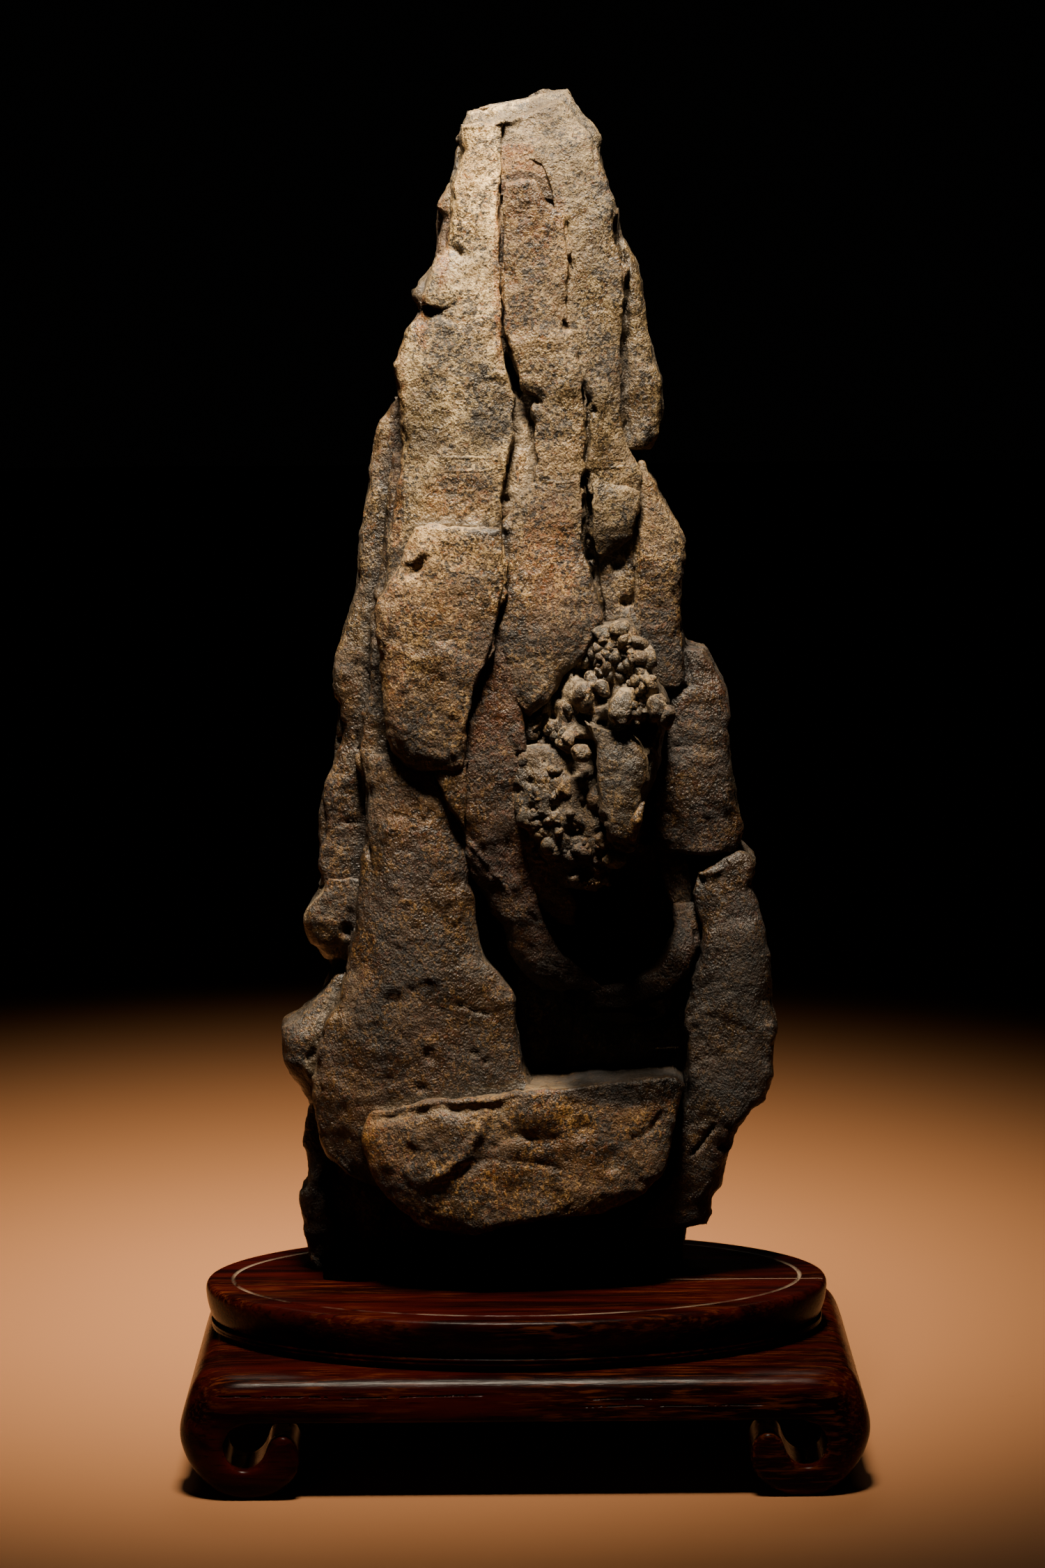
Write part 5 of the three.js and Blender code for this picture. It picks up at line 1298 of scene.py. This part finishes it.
def base_body():
    points = []
    rows = smooth_path(BASE_ROWS, 5)
    for z, side, front in rows:
        for sign_x, sign_y, quarter in ((1, 1, 0), (-1, 1, 1), (-1, -1, 2), (1, -1, 3)):
            for angle in (quarter + np.linspace(0, 1, CORNER_STEPS)) * math.pi / 2:
                x = sign_x * (BASE_HALF_WIDTH - side - CORNER_RADIUS) + CORNER_RADIUS * math.cos(angle)
                y = sign_y * (BASE_HALF_DEPTH - front - CORNER_RADIUS) + CORNER_RADIUS * math.sin(angle)
                points.append((x, y, z))
    return solid_mesh("base_body", points, tube_faces(len(rows), 4 * CORNER_STEPS))


def base_elevation():
    """The base's front outline, drawn out from front to back."""
    half = [(-140, 60), (-140, 30)] + [tuple(p) for p in smooth_path(SCROLL, 5)] + [(-101, APRON_BOTTOM)]
    outline = half + [(-x, z) for x, z in reversed(half)]
    count = len(outline)
    points = [(x, y, z) for y in (-100, 100) for x, z in outline]
    return solid_mesh("base_elevation", points, tube_faces(2, count))


def block_mesh(width, depth, low, high):
    points = [(x, y, z) for z in (low, high)
              for x, y in ((-width, -depth), (width, -depth), (width, depth), (-width, depth))]
    return solid_mesh("block", [(x / 2, y / 2, z) for x, y, z in points], tube_faces(2, 4))


def combined(mesh, other, operation):
    tool = bpy.data.objects.new("tool", other)
    bpy.context.scene.collection.objects.link(tool)
    result = with_modifier(mesh, "BOOLEAN", object=tool, operation=operation, solver="EXACT")
    bpy.data.objects.remove(tool)
    return result


def base_mesh():
    inner = 2 * (BASE_HALF_DEPTH - LEG_DEPTH)
    mesh = combined(base_body(), base_elevation(), "INTERSECT")
    mesh = combined(mesh, block_mesh(400, inner, -1, APRON_BOTTOM), "DIFFERENCE")
    mesh = combined(mesh, block_mesh(2 * (BASE_HALF_WIDTH - 30), inner, -1, APRON_BOTTOM + 5), "DIFFERENCE")
    mesh = with_modifier(mesh, "REMESH", mode="VOXEL", voxel_size=WOOD_VOXEL)
    surface = Surface(mesh)
    surface.ease_facets(6)
    surface.points = surface.averaged(surface.points, 3)
    surface.points[:, 2] = surface.points[:, 2].clip(0, BASE_TOP)
    write_points(mesh, surface.points)
    add_attribute(mesh, "dust", np.zeros(surface.count))
    return mesh


WOOD_DARK = (0.006, 0.0009, 0.0008, 1)
WOOD_RED = (0.038, 0.0028, 0.0016, 1)
WOOD_STREAK = (0.110, 0.024, 0.006, 1)
WOOD_DUST = (0.360, 0.270, 0.190, 1)
WOOD_CRACK = (0.003, 0.001, 0.001, 1)
# Fine cracks along the grain in the apron and a leg: height, and their start and end along X
CRACKS = [(0.0388, -0.120, -0.012), (0.0348, 0.018, 0.090), (0.0170, 0.110, 0.122), (0.0372, 0.020, 0.050)]
# The pale seam on the board: its depth, and where it fades in along X and on the board's top
SEAM_DEPTH = -0.0072
SEAM_START = (0.034, 0.045)
SEAM_HEIGHT = (0.0642, 0.0643)


def rosewood_material():
    nodes = Nodes("rosewood")
    x, y, z = nodes.separate()
    along = nodes.scaled(1, 12, 12)
    broad = nodes.noise(9, 4, 0.6, place=along, distortion=0.5)
    fine = nodes.noise(60, 4, 0.65, place=along, distortion=0.2)
    pores = nodes.noise(900, 3, 0.6, place=nodes.scaled(0.06, 1, 1))
    colour = nodes.mix(nodes.rise(broad, 0.38, 0.66), WOOD_DARK, WOOD_RED)
    streaks = nodes.times(nodes.rise(fine, 0.48, 0.66), nodes.rise(nodes.noise(14, 2), 0.4, 0.62))
    colour = nodes.mix(nodes.times(streaks, 0.7), colour, WOOD_STREAK)
    colour = nodes.mix(nodes.rise(pores, 0.54, 0.68, 0.8), colour, WOOD_DARK)
    # dusty groove, and the seam
    gap = nodes.math("ABSOLUTE", nodes.minus(nodes.plus(y, nodes.waver(30, 2, 0.003)), SEAM_DEPTH))
    seam = nodes.times(nodes.rise(gap, 0.0005, 0.0002), nodes.rise(x, *SEAM_START))
    seam = nodes.times(seam, nodes.rise(z, *SEAM_HEIGHT))
    dusty = nodes.times(nodes.attribute("dust"), nodes.rise(nodes.noise(40, 4), 0.38, 0.62, 0.6))
    pale = nodes.math("MAXIMUM", dusty, nodes.times(seam, 0.5))
    colour = nodes.mix(pale, colour, WOOD_DUST)
    cracks = nodes.level_lines(CRACKS, (24, 5, 3, 0.0022), (0.00045, 0.0001), 0.012, (220, 0.42, 0.55),
                               (-0.060, -0.066))
    rough = nodes.plus(0.20, nodes.times(nodes.noise(50, 4), 0.14))
    normal = nodes.bump(nodes.noise(26, 3, 0.5), 0.0022, 0.25)
    normal = nodes.bump(pores, 0.0003, 0.35, below=normal)
    nodes.surface(Base_Color=nodes.mix(cracks, colour, WOOD_CRACK), Specular_IOR_Level=0.07,
                  Roughness=nodes.math("MAXIMUM", rough, nodes.times(pale, 0.8)),
                  Normal=nodes.bump(nodes.minus(1.0, cracks), 0.0006, below=normal))
    return nodes.material


def make_stand():
    material = rosewood_material()
    pieces = (
        ("rosewood_board", oval_mesh("rosewood_board", BOARD_PROFILE), "stand_board"),
        ("rosewood_band", oval_mesh("rosewood_band", BAND_PROFILE), "stand_band"),
        ("rosewood_base", base_mesh(), "stand_base"),
    )
    for name, mesh, node in pieces:
        finish_piece(name, mesh, material, node)


# Light and floor

WARM = (1.0, 0.86, 0.67)
FLOOR_REACH = 6.0
FLOOR_DARK = (0.31, 0.130, 0.047, 1)
FLOOR_PALE = (0.34, 0.144, 0.052, 1)


def area_light(name, spot, aim, size, power, colour, spread):
    data = bpy.data.lights.new(name, "AREA")
    data.shape = "RECTANGLE"
    data.size = size[0]
    data.size_y = size[1]
    data.energy = power
    data.color = colour
    data.spread = math.radians(spread)
    lamp = bpy.data.objects.new(name, data)
    lamp.location = spot
    lamp.rotation_euler = (Vector(aim) - Vector(spot)).to_track_quat("-Z", "Y").to_euler()
    bpy.context.scene.collection.objects.link(lamp)


def make_light():
    area_light("softbox_above", (-0.03, -0.26, 1.15), (-0.06, 0.26, 0), (0.24, 0.18), 3.1, WARM, 41)
    area_light("softbox_behind", (0.0, 0.75, 1.0), (0, 0.0, 0.2), (0.6, 0.4), 0.2, WARM, 60)
    area_light("fill_front", (-0.7, -1.7, 0.9), (0, 0, 0.3), (1.2, 1.2), 0.04, (1.0, 0.93, 0.84), 60)
    world = bpy.data.worlds.new("world")
    world.use_nodes = True
    background = world.node_tree.nodes["Background"]
    background.inputs["Color"].default_value = (0.46, 0.42, 0.40, 1)
    background.inputs["Strength"].default_value = 0.002
    bpy.context.scene.world = world


def make_floor():
    mesh = bpy.data.meshes.new("floor")
    mesh.from_pydata([(x * FLOOR_REACH, y * FLOOR_REACH, 0) for x, y in ((-1, -1), (1, -1), (1, 1), (-1, 1))],
                     [], [(0, 1, 2, 3)])
    floor = bpy.data.objects.new("floor", mesh)
    bpy.context.scene.collection.objects.link(floor)
    nodes = Nodes("floor")
    nodes.surface(Base_Color=nodes.mix(nodes.noise(3, 2), FLOOR_DARK, FLOOR_PALE), Roughness=0.8)
    mesh.materials.append(nodes.material)


make_camera()
make_stone()
make_stand()
make_light()
make_floor()
